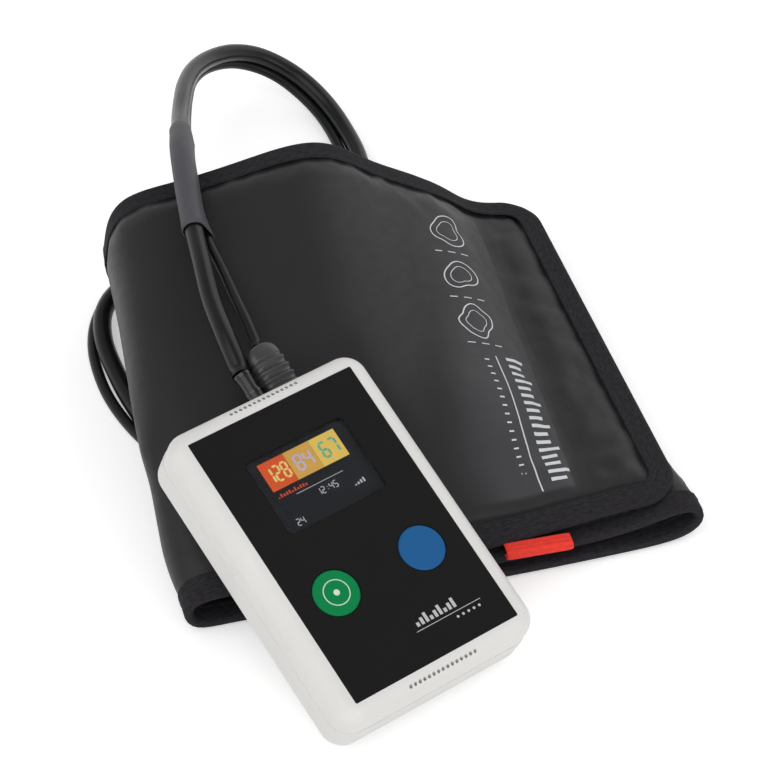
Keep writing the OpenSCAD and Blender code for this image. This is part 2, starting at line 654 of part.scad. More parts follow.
// Cuff: one strip of cloth, rolled from its flap end over the top, round the left fold,
// along the floor, round the right fold and back inside. Each list is one long edge.
near_edge = [[70.5, -39.5, 14], [62.5, -39.5, 14], [48.5, -40, 13.4], [24.5, -41.5, 11.8], [2.5, -42, 11.2],
    [-23.5, -42, 12.8], [-49.5, -42, 14.4], [-67.5, -42, 15.4], [-79.5, -42, 13.8], [-80.1, -41.5, 7],
    [-77.5, -41, 1.4], [-65.5, -41, 2.2], [-35.5, -43, 2.2], [12.5, -46, 2.2], [52.5, -46, 2.2], [74.5, -45, 1.4],
    [81.9, -44, 6.8], [75.5, -44, 12.2], [58.5, -44, 7.6], [30.5, -44, 6.8], [-11.5, -44, 6.8], [-41.5, -44, 6.8],
    [-57.5, -44, 6.8]];
// The second number is how much wider than the cloth the strip lies there
far_edge = [[71, 0, 11.8], [62.5, 0, 12.2], [48.5, 0, 14.4], [32.5, 0.5, 32], [13.5, 0, 42.5],
    [-1.5, 0, 58.5], [-27.5, 0, 52.5], [-49.5, 0, 48.5], [-69, 0, 47.5], [-73, -0.5, 30],
    [-73.5, -1, 6], [-59.5, -1, 2.2], [-31.5, 1, 2.2], [12.5, 4, 2.2], [50.5, 4, 2.2], [65, 3, 1.8],
    [72.5, 2, 4.5], [65, 2, 7.6], [48.5, 2, 6.8], [24.5, 2, 6.8], [-11.5, 2, 6.8], [-39.5, 2, 6.8],
    [-55.5, 2, 6.8]];
strip_l = 452;
coil_lift = hose_d + 2.2;
half_t = cloth_t / 2;
bind_out = half_t + 0.12 + binding_t;
top_points = 9;
function rise(i) = i < 4 ? 0.2 : i < 5 ? 0.45 : i < 10 ? 0.7 : 0.3;
function ease(a, b, x) = let (t = min(1, max(0, (x - a) / (b - a)))) t * t * (3 - 2 * t);
floor_rows = [11, 15];
cloth_sag = 0.9;
function sag(i, w) = i < floor_rows[0] || i > floor_rows[1] ? 0 : cloth_sag * min(1, 8 * w * (1 - w));
function control(w) = [for (i = [0:len(near_edge) - 1]) let (n = near_edge[i], f = far_edge[i],
    h = w + rise(i) * w * (1 - w)) [n.x + (f.x - n.x) * w, n.y + (cuff_w + f.y) * w, n.z + (f.z - n.z) * h - sag(i, w)]];
function framed(p) = concat([2 * p[0] - p[1]], p, [2 * p[len(p) - 1] - p[len(p) - 2]]);
function b_spline(p, u) = let (i = min(floor(u), len(p) - 4), t = u - i, s = 1 - t)
    (s * s * s * p[i] + (3 * t * t * t - 6 * t * t + 4) * p[i + 1]
    + (3 * t * (1 + t - t * t) + 1) * p[i + 2] + t * t * t * p[i + 3]) / 6;
// The bottom layers ride over the coil, and the top layer yields below the recorder
lift_x = [12.5, 46.5];
lift_y = [-26, 12];
lift_z = [16, 32];
function lifted(p) = [p.x, p.y, p.z + coil_lift * (1 - ease(lift_x[0], lift_x[1], p.x))
    * ease(lift_y[0], lift_y[1], p.y) * (1 - ease(lift_z[0], lift_z[1], p.z))];
rec_x = dir([1, 0, 0]);
rec_y = dir([0, 1, 0]);
rec_n = dir([0, 0, 1]);
rec_back = at_rec([0, 0, -case_t]);
steepest_press = 60;
function pressed(p, w) = let (d = p - rec_pos,
    edge = max(0, abs(d * rec_x) - case_w / 2 + 5, d * rec_y - case_l / 2 + 5),
    plane = rec_back.z - ((p.x - rec_back.x) * rec_n.x + (p.y - rec_back.y) * rec_n.y) / rec_n.z,
    cap = plane - bind_out - 0.1 - 0.6 * (1 - ease(0.05, 0.1, w)) + 0.12 * edge * edge + 3 * max(0, edge - 5),
    over_cap = min(steepest_press, p.z - cap))
    [p.x, p.y, p.z - 1.5 * ln(1 + exp(over_cap / 1.5))];
curve_steps = 10;
function strip_line(w) = let (p = framed(control(w)), n = (len(p) - 3) * curve_steps)
    [for (i = [0:n]) let (q = lifted(b_spline(p, i / curve_steps)))
        i < top_points * curve_steps ? pressed(q, w) : q];
function lengths(p) = [for (i = 0, d = 0; i < len(p); i = i + 1, d = i < len(p) ? d + norm(p[i] - p[i - 1]) : d) d];

// Stations along the strip, close together in the two folds, and across it
s_list = concat([for (s = [0:14:126]) s], [for (s = [138:5.4:171]) s], [for (s = [180:9:216]) s],
    [for (s = [226:15:316]) s], [for (s = [321:3.5:352]) s], [for (s = [363:15:438]) s], [strip_l]);
v_rows = 8;
v_list = concat([0], [for (k = [0:v_rows]) binding_w + k * (cuff_w - 2 * binding_w) / v_rows], [cuff_w]);
lines = [for (v = v_list) let (w = v / cuff_w, p = strip_line(w), d = lengths(p))
    [[for (i = [0:len(p) - 1]) [d[i], p[i].x]], [for (i = [0:len(p) - 1]) [d[i], p[i].y]],
     [for (i = [0:len(p) - 1]) [d[i], p[i].z]]]];
mesh = [for (line = lines) [for (s = s_list) [lookup(s, line[0]), lookup(s, line[1]), lookup(s, line[2])]]];
s_end = len(s_list) - 1;
v_end = len(v_list) - 1;
normals = [for (j = [0:v_end]) [for (i = [0:s_end])
    unit(cross(mesh[min(v_end, j + 1)][i] - mesh[max(0, j - 1)][i],
        mesh[j][min(s_end, i + 1)] - mesh[j][max(0, i - 1)]))]];
s_index = [for (i = [0:s_end]) [s_list[i], i]];
v_index = [for (i = [0:v_end]) [v_list[i], i]];
function blend4(g, i, j, a, b) = (1 - b) * ((1 - a) * g[j][i] + a * g[j][i + 1])
    + b * ((1 - a) * g[j + 1][i] + a * g[j + 1][i + 1]);
function floored(p) = [p.x, p.y, max(0, p.z)];
// A point of the cloth: s along the strip, v across it, out from its middle
function cloth(s, v, out) = let (si = lookup(s, s_index), vi = lookup(v, v_index),
    i = min(s_end - 1, floor(si)), j = min(v_end - 1, floor(vi)), a = si - i, b = vi - j)
    floored(blend4(mesh, i, j, a, b) + out * unit(blend4(normals, i, j, a, b)));
// Round corners of the strip: how far the edge draws in at s
function drawn_in(s) = let (r = cuff_corner_r, e = min(s, strip_l - s))
    e >= r ? 0 : r - sqrt(r * r - (r - e) * (r - e));

// A sheet between two offsets over a grid of stations
module sheet(ss, vs, top, bottom) {
    n = len(ss);
    m = len(vs);
    function at(k, j) = k * m + j;
    size = n * m;
    upper = [for (i = [0:n - 1], j = [0:m - 1]) top(ss[i], vs[j])];
    lower = [for (i = [0:n - 1], j = [0:m - 1]) bottom(ss[i], vs[j])];
    rim = concat([for (j = [0:m - 1]) at(0, j)], [for (i = [1:n - 1]) at(i, m - 1)],
        [for (j = [1:m - 1]) at(n - 1, m - 1 - j)], [for (i = [1:n - 2]) at(n - 1 - i, 0)]);
    polyhedron(points = concat(upper, lower), faces = concat(
        [for (i = [0:n - 2], j = [0:m - 2]) each let (a = at(i, j), b = at(i + 1, j), c = at(i + 1, j + 1), d = at(i, j + 1))
            [[a, b, d], [b, c, d], [size + a, size + d, size + b], [size + b, size + d, size + c]]],
        [for (k = [0:len(rim) - 1]) each let (a = rim[k], b = rim[(k + 1) % len(rim)])
            [[a, b, size + a], [b, size + b, size + a]]]), convexity = 10);
}

bladder_s = [226, 423];
hook_span = [14, 70];
loop_span = [363, 408];
bladder_v = [v_list[2], v_list[len(v_list) - 3]];
function within(x, span) = x > span[0] - 0.01 && x < span[1] + 0.01;
// Half the thickness that the bladder takes between the two cloths
function puff(s, v) = !within(s, bladder_s) || !within(v, bladder_v) ? 0
    : 0.3 + (bladder_t / 2 - 0.3) * min(1, 4 * (v - bladder_v[0]) * (bladder_v[1] - v)
        / pow(bladder_v[1] - bladder_v[0], 2) + 0.2);
s_cloth = concat([0, 1, 3.5, 7.5], [for (s = s_list) if (s > 10 && s < strip_l - 10) s],
    [strip_l - 7.5, strip_l - 3.5, strip_l - 1, strip_l]);
// The two outer rows make room for the round corners
function squeezed(s, v) = let (d = drawn_in(s), row = v_list[2], e = min(v, cuff_w - v),
    in = e < row ? d + e * (row - d) / row : e) v < cuff_w / 2 ? in : cuff_w - in;
s_bladder = [for (s = s_list) if (within(s, bladder_s)) s];
v_bladder = [for (v = v_list) if (within(v, bladder_v)) v];
hook_s = [for (s = s_list) if (within(s, hook_span)) s];
loop_s = [for (s = s_list) if (within(s, loop_span)) s];

module cuff_cover() {
    color([0.2, 0.2, 0.21]) sheet(s_cloth, v_list,
        function (s, v) cloth(s, squeezed(s, v), half_t),
        function (s, v) cloth(s, squeezed(s, v), puff(s, v) + 0.05));
}
module cuff_lining() {
    color([0.16, 0.16, 0.17]) sheet(s_cloth, v_list,
        function (s, v) cloth(s, squeezed(s, v), -puff(s, v) - 0.05),
        function (s, v) cloth(s, squeezed(s, v), -half_t));
}
module cuff_bladder() {
    color([0.12, 0.12, 0.12]) sheet(s_bladder, v_bladder,
        function (s, v) cloth(s, v, puff(s, v)), function (s, v) cloth(s, v, -puff(s, v)));
}
module hook_panel() {
    color([0.1, 0.1, 0.1]) sheet(hook_s, v_bladder,
        function (s, v) cloth(s, v, -half_t - 0.02), function (s, v) cloth(s, v, -half_t - pad_t));
}
module loop_panel() {
    color([0.13, 0.13, 0.13]) sheet(loop_s, v_bladder,
        function (s, v) cloth(s, v, half_t + pad_t), function (s, v) cloth(s, v, half_t + 0.02));
}
// The binding folds over the cloth's edge all the way round, with round corners.
// Each station holds a point of the edge and the point inside it where the binding ends.
arc_parts = 4;
function edge_arc(s, v, from) = let (r = cuff_corner_r, q = r - binding_w)
    [for (k = [1:arc_parts - 1]) let (a = from + 90 * k / arc_parts)
        [s + r * cos(a), v + r * sin(a), s + q * cos(a), v + q * sin(a)]];
function turned_round(list) = [for (i = [1:len(list)]) list[len(list) - i]];
bind_s = concat([cuff_corner_r],
    [for (s = s_list) if (s > cuff_corner_r + 1 && s < strip_l - cuff_corner_r - 1) s],
    [strip_l - cuff_corner_r]);
bind_v = concat([cuff_corner_r],
    [for (v = v_list) if (v > cuff_corner_r + 1 && v < cuff_w - cuff_corner_r - 1) v],
    [cuff_w - cuff_corner_r]);
bind_stations = let (r = cuff_corner_r, b = binding_w) concat(
    [for (s = bind_s) [s, 0, s, b]], edge_arc(strip_l - r, r, -90),
    [for (v = bind_v) [strip_l, v, strip_l - b, v]], edge_arc(strip_l - r, cuff_w - r, 0),
    [for (s = turned_round(bind_s)) [s, cuff_w, s, cuff_w - b]], edge_arc(r, cuff_w - r, 90),
    [for (v = turned_round(bind_v)) [0, v, b, v]], edge_arc(r, r, 180));
function bind_ring(e) = let (out = bind_out, in = half_t + 0.12,
    d = unit(cloth(e[0], e[1], 0) - cloth(e[2], e[3], 0))) [
    cloth(e[2], e[3], out), cloth(e[0], e[1], out), floored(cloth(e[0], e[1], 0) + 1.2 * d),
    cloth(e[0], e[1], -out), cloth(e[2], e[3], -out),
    cloth(e[2], e[3], -in), floored(cloth(e[0], e[1], -in) + 0.1 * d),
    floored(cloth(e[0], e[1], in) + 0.1 * d), cloth(e[2], e[3], in)];
module cuff_binding() {
    rings = [for (e = bind_stations) bind_ring(e)];
    n = len(rings[0]);
    size = n * len(rings);
    color([0.13, 0.12, 0.14]) polyhedron(points = [for (ring = rings) each ring],
        faces = [for (k = [0:len(rings) - 1], i = [0:n - 1]) each let (a = k * n + i,
            b = k * n + (i + 1) % n, c = (a + n) % size, d = (b + n) % size)
            i == 0 || i == 5 ? [[a, b, d], [a, d, c]] : [[a, b, c], [b, d, c]]],
        convexity = 10);
}
// Pull tab: a loop of elastic tape round the near edge of the inner layer
tag_s = 375;
tag_w = 21;
tag_t = 0.8;
tag_r = 2.2;
module size_tag() {
    edge = cloth(tag_s, 0, 0);
    nose = 1.3;
    loop_y = -nose - tag_r + 0.4;
    loop_z = bind_out + 0.1 + tag_t - tag_r;
    color([0.9, 0.16, 0.12]) translate(edge) rotate([90, 0, 90]) linear_extrude(tag_w, center = true) {
        difference() {
            translate([loop_y, loop_z]) circle(tag_r, $fn = small_fn);
            translate([loop_y, loop_z]) circle(tag_r - tag_t, $fn = small_fn);
            translate([loop_y, loop_z - tag_r]) square([tag_r, 2 * tag_r]);
        }
        translate([loop_y - 0.01, loop_z + tag_r - tag_t]) square([-loop_y, tag_t]);
        translate([loop_y - 0.01, loop_z - tag_r]) square([-loop_y - nose - 0.1, tag_t]);
    }
}
// Port of the bladder: both leads end in it
port_wall = 0.8;
port_l = 8;
port_h = hose_d + 0.4;
port_disc_d = 21;
port_disc_t = 0.6;
module hose_port() {
    left = coil_x + coil_r(hose_coil_r, coil_turns) - hose_d / 2 - 2 * port_wall;
    right = coil_x + coil_r(lead_coil_r, coil_turns) + lead_d / 2 + port_wall;
    color([0.2, 0.2, 0.21]) translate([(left + right) / 2, port_y + port_l / 2, 0.2]) {
        plate(right - left, port_l, port_h, 1.5);
        translate([0, 0, port_h]) cylinder(d = port_disc_d, h = port_disc_t, $fn = 48);
    }
}

front_shell();
rear_shell();
front_overlay();
display_window();
display_module();
start_button();
event_button();
start_switch();
event_switch();
circuit_board();
processor_chip();
buzzer();
pump_motor();
pump_rotor();
pump_head();
valve_body();
valve_plunger();
air_manifold();
pressure_sensor();
battery_left();
battery_right();
battery_springs();
battery_contacts();
battery_door();
case_screw_1();
case_screw_2();
case_screw_3();
case_screw_4();
air_socket();
mic_socket();
air_coupling();
mic_plug();
air_hose();
air_hose_coil();
mic_cable();
mic_cable_coil();
lead_sleeve();
cuff_cover();
cuff_lining();
cuff_bladder();
cuff_binding();
hook_panel();
loop_panel();
size_tag();
hose_port();
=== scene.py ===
import bpy
import math
import numpy as np
from mathutils import Matrix, Vector


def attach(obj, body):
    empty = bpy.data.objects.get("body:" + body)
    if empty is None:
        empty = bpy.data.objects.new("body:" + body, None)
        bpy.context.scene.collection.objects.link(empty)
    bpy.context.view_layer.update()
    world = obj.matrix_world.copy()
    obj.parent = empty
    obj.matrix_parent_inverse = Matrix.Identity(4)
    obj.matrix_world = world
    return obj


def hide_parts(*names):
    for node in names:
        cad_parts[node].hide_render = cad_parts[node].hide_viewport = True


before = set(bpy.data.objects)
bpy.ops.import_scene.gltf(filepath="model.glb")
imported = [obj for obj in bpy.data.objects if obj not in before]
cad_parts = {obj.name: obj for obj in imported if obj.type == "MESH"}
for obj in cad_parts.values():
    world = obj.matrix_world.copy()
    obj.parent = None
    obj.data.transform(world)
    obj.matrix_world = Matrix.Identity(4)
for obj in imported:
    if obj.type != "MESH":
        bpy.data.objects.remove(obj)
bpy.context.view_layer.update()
print("stage: frame loaded")

mm = 0.001
rootBody = "recorder_and_cuff"


def addObject(name, data):
    item = bpy.data.objects.new(name, data)
    bpy.context.scene.collection.objects.link(item)
    return item


def aim(item, place, look):
    # stand at a place and look along a direction, both in metres
    item.matrix_world = Matrix.Translation(place) @ look.to_track_quat("-Z", "Y").to_matrix().to_4x4()


# camera, at the photograph's angle
camera = {"place": (-172.8, -600.1, 664.4), "turn": 15.5, "elevation": 45.0, "lens": 136.06}


def makeCamera():
    turn, tilt = math.radians(camera["turn"]), math.radians(camera["elevation"])
    data = bpy.data.cameras.new("camera")
    data.sensor_fit, data.sensor_width, data.lens = "HORIZONTAL", 36, camera["lens"]
    data.clip_start, data.clip_end = 0.01, 20
    item = bpy.context.scene.camera = addObject("camera", data)
    look = Vector((math.sin(turn) * math.cos(tilt), math.cos(turn) * math.cos(tilt), -math.sin(tilt)))
    aim(item, Vector(camera["place"]) * mm, look)


makeCamera()


# numpy helpers: every shape below is an array of points worked out at once
def unit(v):
    # each vector over its own length
    return v / np.maximum(np.linalg.norm(v, axis=-1, keepdims=True), 1e-12)


def ease(low, high, x):
    # soft step from 0 to 1 between two values: 3 t squared - 2 t cubed
    t = np.clip((x - low) / (high - low), 0, 1)
    return t * t * (3 - 2 * t)


def hump(x, middle, width):
    # bell of height 1: e to the minus square of the distance in widths
    return np.exp(-((x - middle) / width) ** 2)


def within(low, high, x, soft):
    # 1 between two bounds, with a soft step over each
    return ease(low - soft, low + soft, x) * (1 - ease(high - soft, high + soft, x))


def around(count):
    # equal steps round a circle
    return np.linspace(0, 2 * math.pi, count, endpoint=False)


def runAlong(line):
    # length of a line up to each of its points
    return np.concatenate([[0], np.cumsum(np.linalg.norm(np.diff(line, axis=0), axis=1))])


def gridFaces(rows, columns, closedRows=False, closedColumns=False, flip=False):
    # one quad for each cell of a grid of points, row by row
    i = np.arange(rows if closedRows else rows - 1)[:, None]
    j = np.arange(columns if closedColumns else columns - 1)[None, :]
    a, b = i * columns + j, ((i + 1) % rows) * columns + j
    c, d = ((i + 1) % rows) * columns + (j + 1) % columns, i * columns + (j + 1) % columns
    quads = np.stack([a, b, c, d], -1).reshape(-1, 4)
    return quads[:, ::-1] if flip else quads


def fanFaces(ring, centre, flip=False):
    # triangles from a centre point to a closed ring of points
    ring = np.asarray(ring)
    tris = np.stack([ring, np.roll(ring, -1), np.full(len(ring), centre)], -1)
    return tris[:, ::-1] if flip else tris


def shellFaces(rows, columns, flip=False):
    # an upper and a lower grid of points, joined by a band round their rim
    n = rows * columns
    index = np.arange(n).reshape(rows, columns)
    rim = np.concatenate([index[0], index[1:, -1], index[-1, -2::-1], index[-2:0:-1, 0]])
    after = np.roll(rim, -1)
    band = np.stack([rim, after, after + n, rim + n], -1)
    return [gridFaces(rows, columns, flip=not flip), gridFaces(rows, columns, flip=flip) + n,
            band[:, [0, 3, 2, 1]] if flip else band]


looks = {}  # every material by its name


def makePiece(name, points, faces, finish, replaced="", body=rootBody, paints=None, uv=None, smooth=True):
    # points in millimetres; faces is a list of arrays of quads or triangles; finish names the materials and replaced
    # the plain nodes, each with blanks between; paints picks a material for each face
    mesh = bpy.data.meshes.new(name)
    counts = np.concatenate([np.full(len(f), f.shape[1]) for f in faces])
    corners = np.concatenate([f.ravel() for f in faces])
    mesh.vertices.add(len(points))
    mesh.vertices.foreach_set("co", (np.asarray(points, float) * mm).ravel())
    mesh.loops.add(len(corners))
    mesh.loops.foreach_set("vertex_index", corners.astype(np.int32))
    mesh.polygons.add(len(counts))
    mesh.polygons.foreach_set("loop_start", np.concatenate([[0], np.cumsum(counts)[:-1]]).astype(np.int32))
    mesh.polygons.foreach_set("use_smooth", np.full(len(counts), smooth))
    for key in finish.split():
        mesh.materials.append(looks[key])
    if paints is not None:
        mesh.polygons.foreach_set("material_index", np.asarray(paints, np.int32))
    if uv is not None:
        mesh.uv_layers.new(name="cut").data.foreach_set("uv", np.asarray(uv, float)[corners].ravel())
    mesh.update(calc_edges=True)
    mesh.validate()
    item = addObject(name, mesh)
    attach(item, body)
    if replaced:
        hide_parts(*replaced.split())
    return item


def smoothLine(points, steps):
    # Catmull-Rom curve through the points: each span blends four neighbours by cubic weights
    p = np.asarray(points, float)
    p = np.concatenate([[2 * p[0] - p[1]], p, [2 * p[-1] - p[-2]]])
    t = (np.arange(steps) / steps)[None, :, None]
    a, b, c, d = (p[k:len(p) - 3 + k][:, None] for k in range(4))
    line = 0.5 * (2 * b + (c - a) * t + (2 * a - 5 * b + 4 * c - d) * t ** 2 + (3 * b - a - 3 * c + d) * t ** 3)
    return np.concatenate([line.reshape(-1, 3), p[-2:-1]])


def lineFrames(line):
    # the tangent, a level side vector and the upward vector at each point
    t = unit(np.gradient(line, axis=0))
    side = unit(np.cross(t, [0, 0, 1.0]))
    return t, side, np.cross(side, t)


def tube(line, radius, sides):
    # circles of the given radius carried along the line, with a flat cap at both ends
    t, side, up = lineFrames(line)
    a = around(sides)[None, :, None]
    rings = line[:, None] + radius * (np.cos(a) * side[:, None] + np.sin(a) * up[:, None])
    points = np.concatenate([rings.reshape(-1, 3), line[:1], line[-1:]])
    last = len(line) * sides
    faces = [gridFaces(len(line), sides, closedColumns=True, flip=True),
             fanFaces(np.arange(sides), last),
             fanFaces(np.arange(sides) + last - sides, last + 1, flip=True)]
    along = runAlong(line)
    uv = np.stack([np.repeat(along, sides) / 10, np.tile(np.arange(sides) / sides, len(line))], -1)
    return points, faces, np.concatenate([uv, [[0, 0], [along[-1] / 10, 0]]])


# the recorder lies tilted on the cuff; in its own frame z = 0 is its face and +y points to the leads
pose = {"place": (-31.5, -51, 41.1), "turn": 20.3, "pitch": 22.1, "roll": 1.8}
recorderTurn = (Matrix.Rotation(math.radians(pose["turn"]), 3, "Z")
                @ Matrix.Rotation(math.radians(pose["pitch"]), 3, "X")
                @ Matrix.Rotation(math.radians(pose["roll"]), 3, "Y"))
recorderAxes = np.array(recorderTurn)
recorderPlace = np.array(pose["place"], float)


def atRecorder(points):
    return np.asarray(points, float) @ recorderAxes.T + recorderPlace


# materials
def newMaterial(name, colour, roughness, **settings):
    material = looks[name] = bpy.data.materials.new(name)
    material.use_nodes = True
    shader = material.node_tree.nodes["Principled BSDF"]
    shader.inputs["Base Color"].default_value = (*colour, 1)
    shader.inputs["Roughness"].default_value = roughness
    for key, value in settings.items():
        shader.inputs[key.replace("_", " ")].default_value = value
    return material


def addNode(tree, kind, inputs=None, **settings):
    made = tree.nodes.new(kind)
    for key, value in settings.items():
        setattr(made, key, value)
    for key, value in (inputs or {}).items():
        if isinstance(value, bpy.types.NodeSocket):
            tree.links.new(value, made.inputs[key])
        else:
            made.inputs[key].default_value = value
    return made


# the helpers below find the node tree from the socket that they start from
def link(output, socketName):
    output.id_data.links.new(output, output.id_data.nodes["Principled BSDF"].inputs[socketName])


def cutMap(material):
    # the piece's own map: 1 unit is 10 mm of cloth or jacket
    return addNode(material.node_tree, "ShaderNodeUVMap", uv_map="cut").outputs["UV"]


def objectPlace(material):
    return addNode(material.node_tree, "ShaderNodeTexCoord").outputs["Object"]


def stretched(vector, scale):
    return addNode(vector.id_data, "ShaderNodeMapping", {"Vector": vector, "Scale": scale}).outputs["Vector"]


def noise(vector, scale, detail=2.0, roughness=0.5):
    inputs = {"Vector": vector, "Scale": scale, "Detail": detail, "Roughness": roughness}
    return addNode(vector.id_data, "ShaderNodeTexNoise", inputs).outputs["Fac"]


def maths(operation, a, b=0.0):
    tree = (a if isinstance(a, bpy.types.NodeSocket) else b).id_data
    return addNode(tree, "ShaderNodeMath", {0: a, 1: b}, operation=operation).outputs[0]


def times(*factors):
    total = factors[0]
    for factor in factors[1:]:
        total = maths("MULTIPLY", total, factor)
    return total


def between(value, span, ends=(0.0, 1.0), **settings):
    # straight rise from one end to the other while the value crosses the span
    inputs = {"Value": value, "From Min": span[0], "From Max": span[1], "To Min": ends[0], "To Max": ends[1]}
    return addNode(value.id_data, "ShaderNodeMapRange", inputs, **settings).outputs["Result"]


def ramp(value, stops):
    made = addNode(value.id_data, "ShaderNodeValToRGB", {"Fac": value})
    ends = made.color_ramp.elements
    while len(ends) < len(stops):
        ends.new(0.5)
    for end, (place, colour) in zip(ends, stops):
        end.position, end.color = place, (*colour, 1)
    return made.outputs["Color"]


def bump(height, strength, distance, normal=None):
    inputs = {"Height": height, "Strength": strength, "Distance": distance}
    if normal is not None:
        inputs["Normal"] = normal
    return addNode(height.id_data, "ShaderNodeBump", inputs).outputs["Normal"]


def vary(colour, less, more=None):
    more = less if more is None else more
    return [(0.25, tuple(c * (1 - less) for c in colour)), (0.75, tuple(c * (1 + more) for c in colour))]


def unevenGloss(vector, scale, roughness, low, high):
    # roughness wanders between two shares of its value
    stops = [(0.3, (roughness * low,) * 3), (0.7, (roughness * high,) * 3)]
    link(ramp(noise(vector, scale, 3), stops), "Roughness")


def mouldedPlastic(name, colour, roughness, grain=1.0, specular=0.5):
    # fine eroded texture from the mould, cloudy colour and a gloss that changes a little
    material = newMaterial(name, colour, roughness, Specular_IOR_Level=specular)
    place = objectPlace(material)
    link(ramp(noise(place, 35, 4), vary(colour, 0.025)), "Base Color")
    unevenGloss(place, 160, roughness, 0.92, 1.08)
    fine = bump(noise(place, 3200, 2), 0.22 * grain, 0.00004)
    link(bump(noise(place, 90, 2), 0.12, 0.0004, fine), "Normal")


def platedMetal(name, colour, roughness):
    # metal with a blotchy shine and hair-fine scratches
    material = newMaterial(name, colour, roughness, Metallic=1.0)
    place = objectPlace(material)
    unevenGloss(place, 700, roughness, 0.75, 1.3)
    link(bump(noise(place, 1800, 2), 0.1, 0.00003), "Normal")


def softPlastic(name, colour, roughness, **settings):
    # extruded jacket: faint lengthwise streaks and dulled patches
    material = newMaterial(name, colour, roughness, **settings)
    streak = stretched(cutMap(material), (0.25, 14, 1))
    unevenGloss(streak, 1.6, roughness, 0.8, 1.3)
    link(bump(noise(streak, 2.2, 2), 0.15, 0.0001), "Normal")


def threads(cut, pitch, distortion, direction):
    # waves across one direction of the map, one for each thread; the pitch is in millimetres
    inputs = {"Vector": cut, "Scale": 10 / pitch / math.pi, "Distortion": distortion, "Detail": 1.0}
    return addNode(cut.id_data, "ShaderNodeTexWave", inputs, bands_direction=direction).outputs["Fac"]


def blend(pattern, share, cloud):
    # a pattern and clouds added in the given shares
    return maths("ADD", times(pattern, share), times(cloud, 1 - share))


def wovenCloth(name, colour, roughness, pitch, depth, cloud=0.12):
    # plain weave: the higher of two sets of threads that cross at the pitch
    material = newMaterial(name, colour, roughness)
    cut = cutMap(material)
    weave = maths("MAXIMUM", *(threads(cut, pitch, 0.4, way) for way in "XY"))
    both = blend(weave, 0.35, noise(cut, 0.55, 4))
    link(ramp(both, vary(colour, cloud)), "Base Color")
    unevenGloss(cut, 2.5, roughness, 0.93, 1.07)
    raised = bump(weave, depth, 0.00008)
    link(bump(noise(cut, 1.4, 3), 0.25, 0.0003, raised), "Normal")


# tones of the flap, some of them painted light and shade, in centimetres of the cut: s from its end, v from its near
# edge
flapTone = {"slope": 0.051, "bandStart": (3.0, 3.1), "sheenFadeSpan": (6.9, 4.9), "bandNear": (1.1, 1.25), "drift": 1.6,
            "bandGain": (2.1, 1.15), "nearLightGain": (0.5, 0.0), "nearLightSpan": (0.0, 8.0), "width": 14.2,
            "grooveShade": ((0.66, 0.7), (0.84, 0.78)), "grooveShadeStrength": 0.9, "flap": (11.5, 7.5)}


def coatedCloth(name, colour, roughness):
    # colour times four gains: 1 + a paler band, a real paler strip which starts hard at s + slope v and fades out
    # softly with a drifting edge, the soft fade being painted sheen where the cloth turns from the light; clouds; 1 +
    # painted light rising towards the near edge of the flap; and 1 - painted shade in a groove just inside the binding
    material = newMaterial(name, colour, roughness, Specular_IOR_Level=0.36)
    cut = cutMap(material)
    parts = addNode(cut.id_data, "ShaderNodeSeparateXYZ", {"Vector": cut}).outputs
    s, v = parts["X"], parts["Y"]
    seam = maths("ADD", s, times(v, flapTone["slope"]))
    drift = times(maths("SUBTRACT", noise(cut, 0.25, 1), 0.5), flapTone["drift"])
    # painted sheen: the band's soft fading edge stands in for the cloth turning away from the light
    paintedSheenFade = between(maths("ADD", seam, drift), flapTone["sheenFadeSpan"], interpolation_type="SMOOTHSTEP")
    band = times(between(seam, flapTone["bandStart"]), paintedSheenFade, between(v, flapTone["bandNear"]),
                 between(v, (0.0, flapTone["width"]), flapTone["bandGain"]))
    cloud = maths("ADD", times(noise(cut, 0.4, 3), 0.5), 0.75)
    flap = between(s, flapTone["flap"])
    # painted light: the flap grows lighter towards its near edge, as if lit from the front
    low = times(between(v, flapTone["nearLightSpan"], flapTone["nearLightGain"]), flap)
    # painted shade: a dark line in the groove just inside the binding, on the flap
    far = maths("SUBTRACT", flapTone["width"], v)
    inner = maths("MINIMUM", maths("MINIMUM", v, far), s)
    grooveShade = times(*(between(inner, span) for span in flapTone["grooveShade"]), flap, flapTone["grooveShadeStrength"])
    gain = times(maths("ADD", band, 1.0), cloud, maths("ADD", low, 1.0), maths("SUBTRACT", 1.0, grooveShade))
    tint = addNode(cut.id_data, "ShaderNodeCombineXYZ", {k: times(gain, c) for k, c in zip("XYZ", colour)})
    link(tint.outputs["Vector"], "Base Color")
    unevenGloss(cut, 2.5, roughness, 0.92, 1.08)
    fine = bump(noise(cut, 26, 2), 0.12, 0.00004)
    link(bump(noise(cut, 1.1, 3), 0.22, 0.0003, fine), "Normal")


def ribbedTape(name, colour, roughness, pitch, cloud, **settings):
    # woven tape: ribs along its length at the pitch, with short flecks where threads lie lighter or darker
    material = newMaterial(name, colour, roughness, **settings)
    cut = cutMap(material)
    ribs = threads(cut, pitch, 0.25, "Y")
    short = stretched(cut, (5, 11, 1))
    fleck = noise(short, 1.0, 2, 0.6)
    (_, dark), (_, light) = vary(colour, cloud, cloud * 1.6)
    link(ramp(blend(ribs, 0.2, fleck), [(0.32, dark), (0.68, light)]), "Base Color")
    link(bump(fleck, 0.7, 0.00014, bump(ribs, 0.35, 0.0001)), "Normal")


